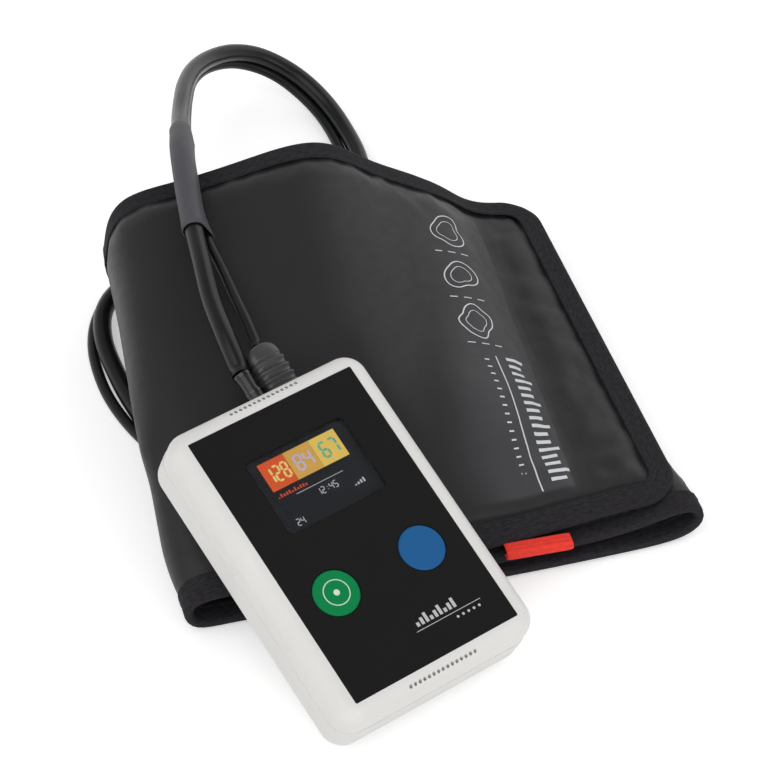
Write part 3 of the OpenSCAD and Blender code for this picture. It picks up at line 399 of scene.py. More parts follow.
# moulded plastics and rubbers: colour, roughness, grain and specular level
plastics = {
    "caseFront": ((0.72, 0.71, 0.69), 0.42), "caseRear": ((0.71, 0.70, 0.68), 0.44),
    "panelFilm": ((0.0085, 0.0083, 0.0085), 0.22, 0.4, 0.2), "panelInk": ((0.5, 0.5, 0.5), 0.4, 0.3),
    "displayGlass": ((0.0125, 0.0135, 0.0165), 0.3, 0.2, 0.3), "keyPrint": ((0.62, 0.72, 0.62), 0.5, 0.3),
    "greenKey": ((0.0, 0.21, 0.06), 0.5, 0.6, 0.14), "blueKey": ((0.008, 0.1, 0.28), 0.45, 0.6, 0.22),
    "darkPart": ((0.03, 0.03, 0.032), 0.5), "palePart": ((0.55, 0.55, 0.5), 0.5),
    "boardResist": ((0.01, 0.1, 0.04), 0.35), "couplingBlack": ((0.012, 0.012, 0.013), 0.2, 0.3),
    "plugRubber": ((0.04, 0.0405, 0.043), 0.27),
    "sleeveTube": ((0.068, 0.069, 0.078), 0.6, 1.0, 0.35), "stitchThread": ((0.012, 0.011, 0.014), 0.6),
    "bladderRubber": ((0.015, 0.015, 0.015), 0.5), "clothPrint": ((0.62, 0.64, 0.66), 0.55, 0.3)}
metals = {"cellSleeve": ((0.35, 0.36, 0.38), 0.32), "plated": ((0.62, 0.62, 0.62), 0.28),
          "polished": ((0.72, 0.72, 0.73), 0.16), "ringBlack": ((0.06, 0.06, 0.062), 0.1)}
for key, look in plastics.items():
    mouldedPlastic(key, *look)
for key, look in metals.items():
    platedMetal(key, *look)
newMaterial("windowGlass", (0.95, 0.96, 0.97), 0.08, Transmission_Weight=1.0, IOR=1.12)
newMaterial("windowRim", (0.03, 0.031, 0.033), 0.5)
softPlastic("hoseJacket", (0.0068, 0.0072, 0.0078), 0.27, Specular_IOR_Level=0.3)
softPlastic("leadJacket", (0.0045, 0.0048, 0.0052), 0.34, Specular_IOR_Level=0.28)
coatedCloth("coverCloth", (0.0105, 0.0104, 0.0115), 0.52)
wovenCloth("liningCloth", (0.014, 0.014, 0.016), 0.75, 0.6, 0.5)
wovenCloth("pilePad", (0.01, 0.01, 0.011), 0.9, 0.9, 1.0, cloud=0.4)
ribbedTape("bindingTape", (0.0165, 0.015, 0.018), 0.85, 0.75, 0.42, Specular_IOR_Level=0.2)
ribbedTape("tagTape", (0.76, 0.024, 0.009), 0.65, 1.5, 0.12)
print("stage: materials")


# hose and lead: routes listed in millimetres, from the recorder round both loops to the coil
leads = {"hoseD": 6.0, "leadD": 3.6, "hoseSides": 24, "leadSides": 18, "couplingX": 3.5, "plugX": 12.1, "plugTipX": 0.4,
         "socketZ": 12.0, "caseEnd": 50.0, "couplingL": 11.0, "plugL": 16.4}
hoseRoute = [atRecorder((leads["couplingX"], leads["caseEnd"] + leads["couplingL"], -leads["socketZ"])),
    (-51.4, 20, 56.6), (-52.2, 35, 58), (-51.5, 50, 59), (-50.6, 64, 59), (-49.4, 78, 59.4),
    (-47.8, 92, 60.1), (-45.8, 106, 58.2), (-42.8, 121, 52.5), (-39.8, 135.5, 46.8), (-36.4, 149, 42.3),
    (-32.5, 162.1, 37.9), (-27, 174.6, 33.2), (-19.4, 185.1, 28.2), (-10.4, 191.8, 23.7), (-1.2, 194.4, 18.8),
    (7.6, 192.3, 13.6), (14.9, 186.3, 9), (20.2, 176.6, 5.4), (23.2, 164, 3.2), (23.9, 149.5, 3.1),
    (21.5, 135, 3.1), (14.5, 125, 3.1), (5, 119, 3.1), (-9.5, 116, 3.1), (-25.5, 114.5, 3.3),
    (-41, 112.5, 4.6), (-56, 108.5, 6.6), (-68.5, 102.5, 7.4), (-76.5, 93.5, 7), (-79.3, 81, 5.6),
    (-78.1, 66, 3.8), (-75.9, 53, 3.1), (-71.9, 38.8, 3.1), (-63.6, 25.8, 3.1), (-53, 16, 3.1),
    (-41, 10, 3.1), (-28.5, 8, 3.1)]
leadRoute = [atRecorder((leads["plugX"] + leads["plugTipX"], leads["caseEnd"] + leads["plugL"], -leads["socketZ"])),
    (-43.8, 25, 56), (-44.6, 36, 56), (-45.4, 50, 55.4), (-46.6, 64, 55), (-46.9, 78, 55),
    (-45.5, 92, 55.7), (-43.8, 105, 53.9), (-41.3, 118.5, 48.2), (-38.9, 132.7, 42.3), (-36, 146.2, 37.8),
    (-32.6, 159.6, 33.4), (-28, 173.9, 28.6), (-20.8, 185, 24), (-11.2, 191.6, 19.3), (-2.2, 193.2, 14.5),
    (5.6, 190.6, 10.1), (12, 184.6, 5.8), (16.7, 174.9, 2.9), (18.7, 163, 1.9), (19, 149, 1.9),
    (15.5, 138, 1.9), (10.5, 130, 1.9), (3.5, 125, 1.9), (-10, 121.8, 1.9), (-26, 120.4, 1.9),
    (-42, 118.8, 1.9), (-57, 114.6, 1.9), (-70.5, 107, 1.9), (-79, 95.5, 1.9), (-83, 81.5, 1.9),
    (-83.2, 65, 1.9), (-80.5, 50.5, 1.9), (-75.1, 36.2, 1.9), (-66.5, 23, 1.9), (-55.5, 12.2, 1.9),
    (-42.5, 5.2, 1.9), (-28.5, 3, 1.9)]
coil = {"x": -23.5, "y": 55.0, "pitch": 10.0, "turns": 2.25, "steps": 60, "hoseR": 47.0, "leadR": 52.0,
        "lastDraw": 3.0, "portY": 56.0, "hoseZ": 3.1, "leadZ": 1.9}


def spiral(radius, height):
    # flat spiral below the cuff: the radius falls evenly with the angle, and further in its last half turn
    turns = np.linspace(0, coil["turns"], int(coil["steps"] * coil["turns"]) + 1)
    r = radius - coil["pitch"] * turns - coil["lastDraw"] * ease(coil["turns"] - 0.5, coil["turns"], turns)
    a = np.radians(-90 + 360 * turns)
    line = np.stack([coil["x"] + r * np.cos(a), coil["y"] + r * np.sin(a), np.full(len(a), height)], -1)
    return np.concatenate([line, [[coil["x"] + r[-1], coil["portY"], height]]])


def makeLead(name, route, radius, height, diameter, sides, finish, replaced):
    line = np.concatenate([smoothLine(route, 5), spiral(radius, height)])
    points, faces, uv = tube(line, diameter / 2, sides)
    item = makePiece(name, points, faces, finish, replaced, uv=uv)


# sleeve: its span in points of the route, wall from inner to outer offset, a flare at each end and a ripple
sleeveShape = {"span": (4, 8), "steps": 6, "sides": 40, "offsets": (0.52, 0.14), "seam": 0.8, "flare": (0.22, 0.08),
               "farFlare": (0.1, 0.03), "ripple": (0.06, 23)}


def makeSleeve():
    # outline of two circles side by side, each offset by a gap and the wall, carried along both leads
    steps, sides = sleeveShape["steps"], sleeveShape["sides"]
    span = slice(*(place * steps + 1 for place in sleeveShape["span"]))
    hose, lead = smoothLine(hoseRoute, steps)[span], smoothLine(leadRoute, steps)[span]
    t, side, up = lineFrames(hose)
    across = lead + ((hose - lead) * t).sum(-1, keepdims=True) * t
    q = around(sides)
    w = np.cos(q)[None, :, None] * up[:, None] + np.sin(q)[None, :, None] * side[:, None]
    along = np.linspace(0, 1, len(hose))[:, None]
    (near, nearWidth), (far, farWidth), (depth, waves) = (sleeveShape[key] for key in ("flare", "farFlare", "ripple"))
    flare = near * hump(along, 0, nearWidth) + far * hump(along, 1, farWidth)
    flare = flare + depth * np.sin(along * waves) * np.sin(q * 2)
    skins = []
    for grow in sleeveShape["offsets"]:
        onHose, onLead = (middle[:, None] + (d / 2 + grow + flare)[..., None] * w
                          for middle, d in ((hose, leads["hoseD"]), (across, leads["leadD"])))
        mix = ease(-sleeveShape["seam"], sleeveShape["seam"], ((onHose - onLead) * w).sum(-1))[..., None]
        skins.append((mix * onHose + (1 - mix) * onLead).reshape(-1, 3))
    n = len(skins[0])
    ring = np.arange(sides)
    after, end = np.roll(ring, -1), n - sides
    faces = [gridFaces(len(hose), sides, closedColumns=True),
             gridFaces(len(hose), sides, closedColumns=True, flip=True) + n,
             np.stack([ring, after, after + n, ring + n], -1),
             np.stack([after + end, ring + end, ring + end + n, after + end + n], -1)]
    return makePiece("leadSleeve", np.concatenate(skins), faces, "sleeveTube", "lead_sleeve")


# plug: width, thickness, places along the recorder's y, ribs, half sizes of the nose and gap of the sheath
plug = {"w": 11.4, "t": 8.0, "start": 50.25, "grip": 62.2, "tip": 66.4, "ribs": 4, "pitch": 2.85, "firstRib": 1.1,
        "ribDepth": 0.8, "nose": (4.0, 2.2), "noseStart": 45.25, "noseEnd": 50.21, "sheath": 0.55, "sides": 64}


def makePlug():
    # superellipse sections along the plug: nose in the socket, ribbed grip, round shoulders, then the lead's sheath
    start, grip, tip, sides = (plug[key] for key in ("start", "grip", "tip", "sides"))
    y = np.concatenate([[plug["noseStart"], plug["noseStart"] + 0.05, plug["noseEnd"] - 0.01, plug["noseEnd"] + 0.01],
                        np.linspace(start, grip, 90),
                        grip + (tip - grip) * np.sin(np.linspace(0, math.pi / 2, 22)[1:])])
    inNose = y < plug["noseEnd"]
    part = np.clip((y - grip) / (tip - grip), 0, 1)
    shoulder = np.sqrt(np.clip(1 - part ** 2, 0, 1))
    ribs = plug["ribDepth"] * (0.5 + 0.5 * np.cos(2 * math.pi * (y - start - plug["firstRib"]) / plug["pitch"])) ** 1.5
    ribs = np.where((y > start) & (y < start + plug["ribs"] * plug["pitch"]), ribs, 0.25 * (1 - part))
    sheath = leads["leadD"] / 2 + plug["sheath"]
    a = np.where(inNose, plug["nose"][0], sheath + (plug["w"] / 2 - 0.55 - sheath) * shoulder)
    b = np.where(inNose, plug["nose"][1], sheath + (plug["t"] / 2 - 0.5 - sheath) * shoulder)
    power = 2 / np.where(inNose, 8.0, 2 + 1.6 * shoulder)[:, None]
    q = around(sides)[None, :]
    cx, sz = np.cos(q), np.sin(q)
    middle = leads["plugX"] + leads["plugTipX"] * part[:, None]
    x = np.sign(cx) * np.abs(cx) ** power * (a + ribs * 0.5)[:, None] + middle
    z = np.sign(sz) * np.abs(sz) ** power * (b + ribs)[:, None] - leads["socketZ"]
    rings = np.stack([x, np.repeat(y[:, None], sides, 1), z], -1)
    ends = [(middle[k, 0], y[k], -leads["socketZ"]) for k in (0, -1)]
    n = len(y) * sides
    faces = [gridFaces(len(y), sides, closedColumns=True), fanFaces(np.arange(sides), n, flip=True),
             fanFaces(np.arange(sides) + n - sides, n + 1)]
    points = atRecorder(np.concatenate([rings.reshape(-1, 3), ends]))
    return makePiece("plugBoot", points, faces, "plugRubber", "mic_plug")


# coupling: its radius, how much thinner its neck is, and the spans of the profile that are bright rings
couplingShape = {"r": 2.75, "neck": -0.45, "sides": 48, "sharp": 40, "rings": (7, 8, 9, 16, 17, 18)}


def makeCoupling():
    # turned profile: (place along y, how far past the radius)
    r, neck, sides = (couplingShape[key] for key in ("r", "neck", "sides"))
    profile = [(45.75, -r), (45.75, neck - 0.2), (46.1, neck), (50.3, neck), (50.3, -0.2), (50.5, 0), (53.2, 0),
               (53.25, 0.13), (53.4, 0.17), (54.3, 0.17), (54.45, 0.13), (54.5, -0.12), (55.2, -0.2), (57.8, -0.2),
               (58.6, -0.1), (59.5, 0), (59.55, 0.13), (59.7, 0.17), (60.6, 0.17), (60.85, 0.1), (61.0, -0.1),
               (61.0, -r)]
    y, grow = np.array(profile).T
    q = around(sides)[None, :]
    across = (r + grow)[:, None]
    points = np.stack([leads["couplingX"] + across * np.cos(q), np.repeat(y[:, None], sides, 1),
                       -leads["socketZ"] + across * np.sin(q)], -1).reshape(-1, 3)
    paints = np.repeat(np.isin(np.arange(len(y) - 1), couplingShape["rings"]), sides)
    item = makePiece("hoseCoupling", atRecorder(points), [gridFaces(len(y), sides, closedColumns=True)],
                     "couplingBlack ringBlack", "air_coupling", paints=paints)
    item.data.set_sharp_from_angle(angle=math.radians(couplingShape["sharp"]))
    return item


coupling = makeCoupling()
plugBoot = makePlug()
sleeve = makeSleeve()
makeLead("airHose", hoseRoute, coil["hoseR"], coil["hoseZ"], leads["hoseD"], leads["hoseSides"], "hoseJacket",
         "air_hose air_hose_coil")
makeLead("micLead", leadRoute, coil["leadR"], coil["leadZ"], leads["leadD"], leads["leadSides"], "leadJacket",
         "mic_cable mic_cable_coil")
print("stage: leads")


# cuff: one strip of cloth, rolled; each list is one long edge of it, from the flap to the inner end
cuff = {"width": 142.0, "length": 452.0, "thickness": 3.2, "bindingW": 6.5, "bindingT": 0.48, "lip": 0.12,
        "cornerR": 12.0, "lift": 8.2, "sag": 0.9, "topPoints": 9, "floorRows": (11, 15), "hidden": (150, 175),
        "bladder": (226, 423), "bladderV": (24, 118), "hook": (14, 70), "loop": (363, 408), "padV": (24.5, 117.5)}
nearEdge = np.array([(73.8, -39.8, 14), (65, -39.8, 14), (48.5, -40, 13.4), (24.5, -41.5, 11.8), (2.5, -42, 11.2),
    (-23.5, -42, 12.8), (-49.5, -42, 14.4), (-67.5, -42, 15.4), (-79.5, -42, 13.8), (-80.1, -41.5, 7),
    (-77.5, -41, 1.4), (-65.5, -41, 2.2), (-35.5, -43, 2.2), (12.5, -46, 2.2), (52.5, -46, 2.2), (74, -45, 1.2),
    (80.5, -44, 7.2), (75.4, -43.6, 14.2), (58.5, -43.6, 7.5), (30.5, -44, 6.8), (-11.5, -44, 6.8), (-41.5, -44, 6.8),
    (-57.5, -44, 6.8)])
farEdge = np.array([(69.6, 0, 11.8), (62.5, 0, 12.2), (48.5, 0, 14.4), (32.5, 0.5, 32), (13.5, 0, 42.5),
    (-1.5, 0, 58.5), (-27.5, 0, 52.5), (-49.5, 0, 48.5), (-69, 0, 47.5), (-73, -0.5, 30),
    (-73.5, -1, 6), (-59.5, -1, 2.2), (-31.5, 1, 2.2), (12.5, 4, 2.2), (50.5, 4, 2.2), (65, 3, 1.8),
    (72.5, 2, 4.5), (65, 2, 7.6), (48.5, 2, 6.8), (24.5, 2, 6.8), (-11.5, 2, 6.8), (-39.5, 2, 6.8),
    (-55.5, 2, 6.8)])
halfT = cuff["thickness"] / 2
bindOut = halfT + cuff["lip"] + cuff["bindingT"]
caseSize = {"w": 68.6, "l": 100.0, "t": 23.0}


def foldShift(k, w):
    # the left fold draws in at its near end and bellies out further on; the right one is widest at its near end
    left = np.select([k == 8, k == 9, k == 10], [0.8, 1.0, 1.0], 0.0)
    right = np.select([k == 15, k == 16, k == 17], [0.7, 1.0, 1.0], 0.0)
    leftward = 0.7 * (1 - ease(0, 0.13, w)) - 1.8 * ease(0.02, 0.18, w) * (1 - ease(0.3, 0.9, w))
    return left * leftward - 2.6 * right * ease(0.02, 0.22, w) * (1 - ease(0.5, 0.95, w))


def lifted(p):
    # the bottom layers ride over the coil of the leads
    rise = cuff["lift"] * (1 - ease(12.5, 46.5, p[..., 0])) * ease(-26, 12, p[..., 1]) * (1 - ease(16, 32, p[..., 2]))
    return p + rise[..., None] * np.array([0, 0, 1.0])


def pastCase(p, inset=0.0):
    # how far a point lies past the outline of the case, drawn in by the inset
    right, forth, _ = recorderAxes.T
    d = p - recorderPlace
    return np.maximum(np.maximum(np.abs(d @ right) - caseSize["w"] / 2, d @ forth - caseSize["l"] / 2) + inset, 0)


press = {"inset": 5.0, "gap": 0.1, "nearGap": 0.6, "curve": 0.12, "steep": 3.0, "soft": 1.5}


def pressed(p, w):
    # the top layer yields below the recorder: a smooth cap under the plane of its back
    out, back = recorderAxes[:, 2], atRecorder((0, 0, -caseSize["t"]))
    edge = pastCase(p, press["inset"])
    plane = back[2] - ((p[..., 0] - back[0]) * out[0] + (p[..., 1] - back[1]) * out[1]) / out[2]
    cap = (plane - bindOut - press["gap"] - press["nearGap"] * (1 - ease(0.05, 0.1, w)) + press["curve"] * edge ** 2
           + press["steep"] * np.maximum(edge - press["inset"], 0))
    over = np.minimum(60, p[..., 2] - cap)
    return p - (press["soft"] * np.log1p(np.exp(over / press["soft"])))[..., None] * np.array([0, 0, 1.0])


def stripLines(w, perSpan=20):
    # uniform cubic B-spline along the strip for each share w of its width; control points blend from edge to edge
    k = np.arange(len(nearEdge))[:, None]
    w = w[None, :]
    rise = np.select([k < 4, k < 5, k < 10], [0.2, 0.45, 0.7], 0.3)
    onFloor = (k >= cuff["floorRows"][0]) & (k <= cuff["floorRows"][1])
    sag = np.where(onFloor, cuff["sag"] * np.minimum(1, 8 * w * (1 - w)), 0)
    h = w + rise * w * (1 - w)
    n, f = nearEdge[:, None], farEdge[:, None]
    points = np.stack([n[..., 0] + (f[..., 0] - n[..., 0]) * w + foldShift(k, w),
                       n[..., 1] + (cuff["width"] + f[..., 1]) * w,
                       n[..., 2] + (f[..., 2] - n[..., 2]) * h - sag], -1)
    points = np.concatenate([[2 * points[0] - points[1]], points, [2 * points[-1] - points[-2]]])
    u = np.linspace(0, len(points) - 3, (len(points) - 3) * perSpan + 1)
    i = np.minimum(u.astype(int), len(points) - 4)
    t = (u - i)[:, None, None]
    r = 1 - t
    line = (r ** 3 * points[i] + (3 * t ** 3 - 6 * t ** 2 + 4) * points[i + 1]
            + (3 * t * (1 + t - t * t) + 1) * points[i + 2] + t ** 3 * points[i + 3]) / 6
    line = lifted(line)
    return np.where((u < cuff["topPoints"])[:, None, None], pressed(line, w), line)


gridStep = {"s": 2.0, "v": 2.0}
sRows = np.linspace(0, cuff["length"], int(cuff["length"] / gridStep["s"]) + 1)
vRows = np.linspace(0, cuff["width"], int(cuff["width"] / gridStep["v"]) + 1)


def layCloth():
    # each line across is measured along its own length, so s is the true distance along the cloth
    lines = stripLines(vRows / cuff["width"])
    step = np.linalg.norm(np.diff(lines, axis=0), axis=2)
    length = np.concatenate([np.zeros((1, step.shape[1])), np.cumsum(step, axis=0)])
    laid = np.stack([[np.interp(sRows, length[:, j], lines[:, j, c]) for c in range(3)] for j in range(len(vRows))])
    laid = laid.transpose(2, 0, 1)
    normal = unit(np.cross(np.gradient(laid, axis=1), np.gradient(laid, axis=0)))
    return laid, normal


laidPoints, laidNormals = layCloth()


def sample(grid, s, v):
    # value of a grid over the cloth at any s and v, by cubic weights so that it stays smooth
    def weights(x, rows):
        x = np.clip(x / rows[-1] * (len(rows) - 1), 0, len(rows) - 1 - 1e-6)
        i = x.astype(int)
        t = (x - i)[..., None]
        taps = np.clip(i[..., None] + np.arange(-1, 3), 0, len(rows) - 1)
        return taps, np.concatenate([-0.5 * t + t * t - 0.5 * t ** 3, 1 - 2.5 * t * t + 1.5 * t ** 3,
                                     0.5 * t + 2 * t * t - 1.5 * t ** 3, -0.5 * t * t + 0.5 * t ** 3], -1)
    si, sw = weights(np.asarray(s, float), sRows)
    vi, vw = weights(np.asarray(v, float), vRows)
    picked = grid[si[..., :, None], vi[..., None, :]]
    mix = sw[..., :, None] * vw[..., None, :]
    return (picked * mix[..., None]).sum((-3, -2)) if grid.ndim == 3 else (picked * mix).sum((-2, -1))


def cloth(s, v, out):
    # a point of the cuff: s along the strip, v across it, out from the middle of the cloth towards its cover
    s, v, out = np.broadcast_arrays(np.asarray(s, float), np.asarray(v, float), np.asarray(out, float))
    p = sample(laidPoints, s, v) + out[..., None] * unit(sample(laidNormals, s, v))
    p[..., 2] = np.maximum(p[..., 2], 0.02)
    return p


def fromEdge(s, v):
    # distance to the nearest edge of the flat cloth
    return np.minimum(np.minimum(s, cuff["length"] - s), np.minimum(v, cuff["width"] - v))


def pinch(s, v):
    # the padding thins towards the sewn edge: full thickness from 12 mm inwards
    return 0.68 + 0.32 * ease(1, 12, fromEdge(s, v))


def drawnIn(s):
    # round corners of the strip: how far its edge draws in at s
    r = cuff["cornerR"]
    e = np.minimum(np.minimum(s, cuff["length"] - s), r)
    return r - np.sqrt(np.maximum(r * r - (r - e) ** 2, 0))


quilt = {"step": 4.0, "half": 0.4, "frames": 20, "cap": 2.6, "welds": (26, 226, 423), "weldHalf": 2.1, "seed": 7,
         "cloth": {"use_pressure": True, "uniform_pressure_force": 4.0, "shrink_min": -0.006, "quality": 5, "mass": 0.3,
                   "tension_stiffness": 25, "compression_stiffness": 25, "bending_stiffness": 0.8}}


def quiltCloth():
    # the padded strip, simulated flat: a closed pillow swells between its sewn edges and welds
    ns, nv = int(cuff["length"] / quilt["step"]) + 1, int(cuff["width"] / quilt["step"]) + 1
    s, v = np.meshgrid(np.linspace(0, cuff["length"], ns), np.linspace(0, cuff["width"], nv), indexing="ij")
    waviness = np.random.default_rng(quilt["seed"]).normal(0, 0.05, s.shape)
    top, low = (np.stack([s, v, half + waviness], -1).reshape(-1, 3) for half in (quilt["half"], -quilt["half"]))
    n = len(top)
    faces = np.concatenate(shellFaces(ns, nv, flip=True))
    mesh = bpy.data.meshes.new("quilt")
    mesh.from_pydata((np.concatenate([top, low]) * mm).tolist(), [], faces.tolist())
    item = addObject("quilt", mesh)
    edge = fromEdge(s, v).ravel()
    weld = np.min([np.abs(s.ravel() - place) for place in quilt["welds"]], axis=0)
    held = item.vertex_groups.new(name="sewn")
    pinned = np.nonzero((edge < cuff["bindingW"]) | (weld < quilt["weldHalf"]))[0]
    held.add([int(k) for k in np.concatenate([pinned, pinned + n])], 1.0, "REPLACE")
    swell = item.modifiers.new("swell", "CLOTH")
    swell.settings.vertex_group_mass = "sewn"
    swell.settings.effector_weights.gravity = 0
    for key, value in quilt["cloth"].items():
        setattr(swell.settings, key, value)
    swell.point_cache.frame_start, swell.point_cache.frame_end = 1, quilt["frames"]
    for number in range(1, quilt["frames"] + 1):
        bpy.context.scene.frame_set(number)
    shown = item.evaluated_get(bpy.context.evaluated_depsgraph_get()).data
    moved = np.empty(len(shown.vertices) * 3)
    shown.vertices.foreach_get("co", moved)
    rise = moved.reshape(-1, 3)[:n, 2] / mm - top[:, 2]
    rise = np.clip(rise, -quilt["cap"], quilt["cap"]).reshape(ns, nv)
    bpy.data.objects.remove(item)
    bpy.data.meshes.remove(mesh)
    bpy.context.scene.frame_set(1)
    print("quilt rises", rise.max().round(2), "mm")
    fine = np.stack([np.interp(sRows, s[:, 0], rise[:, j]) for j in range(nv)], 1)
    return np.stack([np.interp(vRows, v[0], row) for row in fine])


quilted = quiltCloth()
print("stage: cloth simulated")


def wander(s, v, size, seed):
    # smooth irregular waves: a sum of sines in random directions
    rng = np.random.default_rng(seed)
    total = np.zeros(np.broadcast(s, v).shape)
    for k in range(9):
        angle, reach, phase = rng.uniform(0, math.pi), size * rng.uniform(0.7, 1.6), rng.uniform(0, 6.28)
        total = total + np.sin((s * math.cos(angle) + v * math.sin(angle)) * 2 * math.pi / reach + phase)
    return total / 9


def onOuterTurn(s):
    # 1 on the outer turn of the wrap, 0 on the turns below it
    return 1 - ease(*cuff["hidden"], s)


def freeRoom(s, v):
    # 1 where the cover has air above it, falling to 0 where it lies on something or under the recorder
    return ease(0, 14, pastCase(sample(laidPoints, s, v))) * onOuterTurn(s)


# what the eye sees on the flap: heights, and the places and widths that go with them
relief = {"step": 0.5, "line": -0.45, "ridge": 0.8, "ridgeBack": 10.5, "ridgeWidth": 4.2, "dimple": 0.6,
          "dimpleAt": (17.5, 15), "dimpleRing": 4.6, "gutter": -0.8, "waves": ((0.55, 62, 3), (0.16, 30, 5)),
          "swell": 1.6, "leastRoom": 0.35}


def coverRelief(s, v):
    # a step beside the print with a sunk line, a soft ridge, a round dimple, waves, and a gutter along the binding
    inner = np.minimum(v, cuff["width"] - v)
    room = freeRoom(s, v)
    seam = 10 * flapTone["bandStart"][0] + 0.2 - flapTone["slope"] * v
    step = relief["step"] * ease(-0.7, 1.2, s - seam) * ease(9, 16, inner) * (1 - ease(60, 150, s))
    line = relief["line"] * hump(s, seam - 0.4, 1.1) * ease(8, 12, inner)
    ridge = relief["ridge"] * hump(s, seam - relief["ridgeBack"], relief["ridgeWidth"])
    ridge = ridge * ease(14, 40, v) * ease(9, 30, cuff["width"] - v)
    dent = np.hypot(s - relief["dimpleAt"][0], v - relief["dimpleAt"][1])
    dimple = relief["dimple"] * (hump(dent, relief["dimpleRing"], 1.3) - hump(dent, 0, relief["dimpleRing"] - 1))
    gutter = relief["gutter"] * hump(np.minimum(inner, s), cuff["bindingW"] + 0.7, 1.3)
    waves = sum(height * wander(s, v, size, seed) for height, size, seed in relief["waves"])
    swell = np.clip(sample(quilted, s, v), 0, relief["swell"])
    return room * (step + line + ridge + dimple + waves + swell) + np.maximum(room, relief["leastRoom"]) * gutter


def withRims(length, near, first, pitch):
    # rows that lie close together at both rims of a strip and evenly between
    near = np.array(near)
    return np.concatenate([near, np.arange(first, length - first + 0.5, pitch), length - near[::-1]])


def squeezed(s, v):
    # the two outer bands of the cut make room for its round corners
    d, band = drawnIn(s), 24.5
    e = np.minimum(v, cuff["width"] - v)
    e = np.where(e < band, d + e * (band - d) / band, e)
    return np.where(v < cuff["width"] / 2, e, cuff["width"] - e)


def puff(s, v):
    # half the room that the empty bladder takes between the cloths: a low crown over its width
    near, far = cuff["bladderV"]
    crown = np.clip(4 * (v - near) * (far - v) / (far - near) ** 2 + 0.2, 0, 1)
    return within(*cuff["bladder"], s, 2) * within(near, far, v, 2) * (0.3 + 0.45 * crown)


def sheetPiece(name, s, v, top, bottom, finish, node, onCut=True):
    # two offset surfaces over the same grid of s and v, joined round their rim
    sGrid, vGrid = np.meshgrid(s, v, indexing="ij")
    vGrid = squeezed(sGrid, vGrid) if onCut else vGrid
    skins = [cloth(sGrid, vGrid, out(sGrid, vGrid)).reshape(-1, 3) for out in (top, bottom)]
    uv = np.stack([sGrid.ravel(), vGrid.ravel()], -1) / 10
    return makePiece(name, np.concatenate(skins), shellFaces(*sGrid.shape), finish, node, uv=np.tile(uv, (2, 1)))


def makeCuffCloths():
    # each layer lies between two heights over the middle of the cloth, both functions of s and v
    s = withRims(cuff["length"], [0, 0.4, 1, 2, 3.5, 5.5, 7.5], 9.5, 2.0)
    v = withRims(cuff["width"], [0, 3, 6, 8, 8.8], 9.6, 1.9)
    cover = sheetPiece("cuffCover", s, v, lambda a, b: halfT * pinch(a, b) + coverRelief(a, b),
                       lambda a, b: puff(a, b) + 0.05, "coverCloth", "cuff_cover")
    lining = sheetPiece("cuffLining", s, v, lambda a, b: -puff(a, b) - 0.05,
                        lambda a, b: -halfT * pinch(a, b) + 0.12 * wander(a, b, 30, 11) * onOuterTurn(a),
                        "liningCloth", "cuff_lining")

    def rows(part, pitch):
        return np.arange(cuff[part][0], cuff[part][1] + 1, pitch)
    bladder = sheetPiece("airBladder", rows("bladder", 3.0), np.linspace(*cuff["padV"], 32),
                         lambda a, b: puff(a, b) * 0.9, lambda a, b: -puff(a, b) * 0.9,
                         "bladderRubber", "cuff_bladder", False)
    vPad = np.linspace(*cuff["padV"], 48)
    hook = sheetPiece("hookPad", rows("hook", 2.0), vPad, lambda a, b: -halfT - 0.14 + 0 * a,
                      lambda a, b: -halfT - 0.65 + 0.05 * wander(a, b, 2.5, 21), "pilePad", "hook_panel", False)
    loop = sheetPiece("loopPad", rows("loop", 1.8), vPad, lambda a, b: halfT + 0.6 + 0.06 * wander(a, b, 3, 22),
                      lambda a, b: halfT + 0.02 + 0 * a, "pilePad", "loop_panel", False)
    return cover, lining, hook, loop


cover, lining, hook, loop = makeCuffCloths()
print("stage: cuff cloths")


def edgeStations(pitch):
    # the cuff's edge all the way round as (s, v) on the edge and (s, v) where the binding ends, with its running length
    length, width, r, b = cuff["length"], cuff["width"], cuff["cornerR"], cuff["bindingW"]
    arc = np.radians(np.linspace(0, 90, 15))[1:-1]

    def straight(a, z):
        return np.linspace(a, z, max(2, int(abs(z - a) / pitch)))

    def corner(s, v, start):
        a = arc + math.radians(start)
        return np.stack([s + r * np.cos(a), v + r * np.sin(a), s + (r - b) * np.cos(a), v + (r - b) * np.sin(a)], -1)

    def side(s, v, ds, dv):
        s, v = np.broadcast_arrays(s, v)
        return np.stack([s, v, s + ds * b, v + dv * b], -1)
    stations = np.concatenate([
        side(straight(r, length - r), 0.0, 0, 1), corner(length - r, r, -90),
        side(length, straight(r, width - r), -1, 0), corner(length - r, width - r, 0),
        side(straight(length - r, r), width, 0, -1), corner(r, width - r, 90),
        side(0.0, straight(width - r, r), 1, 0), corner(r, r, 180)])
    return stations, runAlong(stations[:, :2])


def acrossBinding(stations, t, out):
    # a point of the binding: t inwards from the cloth's edge, out from its middle; t below 0 is past the edge
    share = (np.maximum(t, 0) / cuff["bindingW"])[..., None]
    place = stations[:, None, :2] * (1 - share) + stations[:, None, 2:] * share
    base = cloth(place[..., 0], place[..., 1], out * pinch(place[..., 0], place[..., 1]))
    away = unit(cloth(stations[:, 0], stations[:, 1], 0.0) - cloth(stations[:, 2], stations[:, 3], 0.0))
    base = base + np.maximum(-t, 0)[..., None] * away[:, None]
    base[..., 2] = np.maximum(base[..., 2], 0.02)
    return base


sewing = {"pitch": 3.2, "stitch": 2.3, "radius": 0.13, "inset": 5.0, "pucker": 0.035, "wave": 0.1}


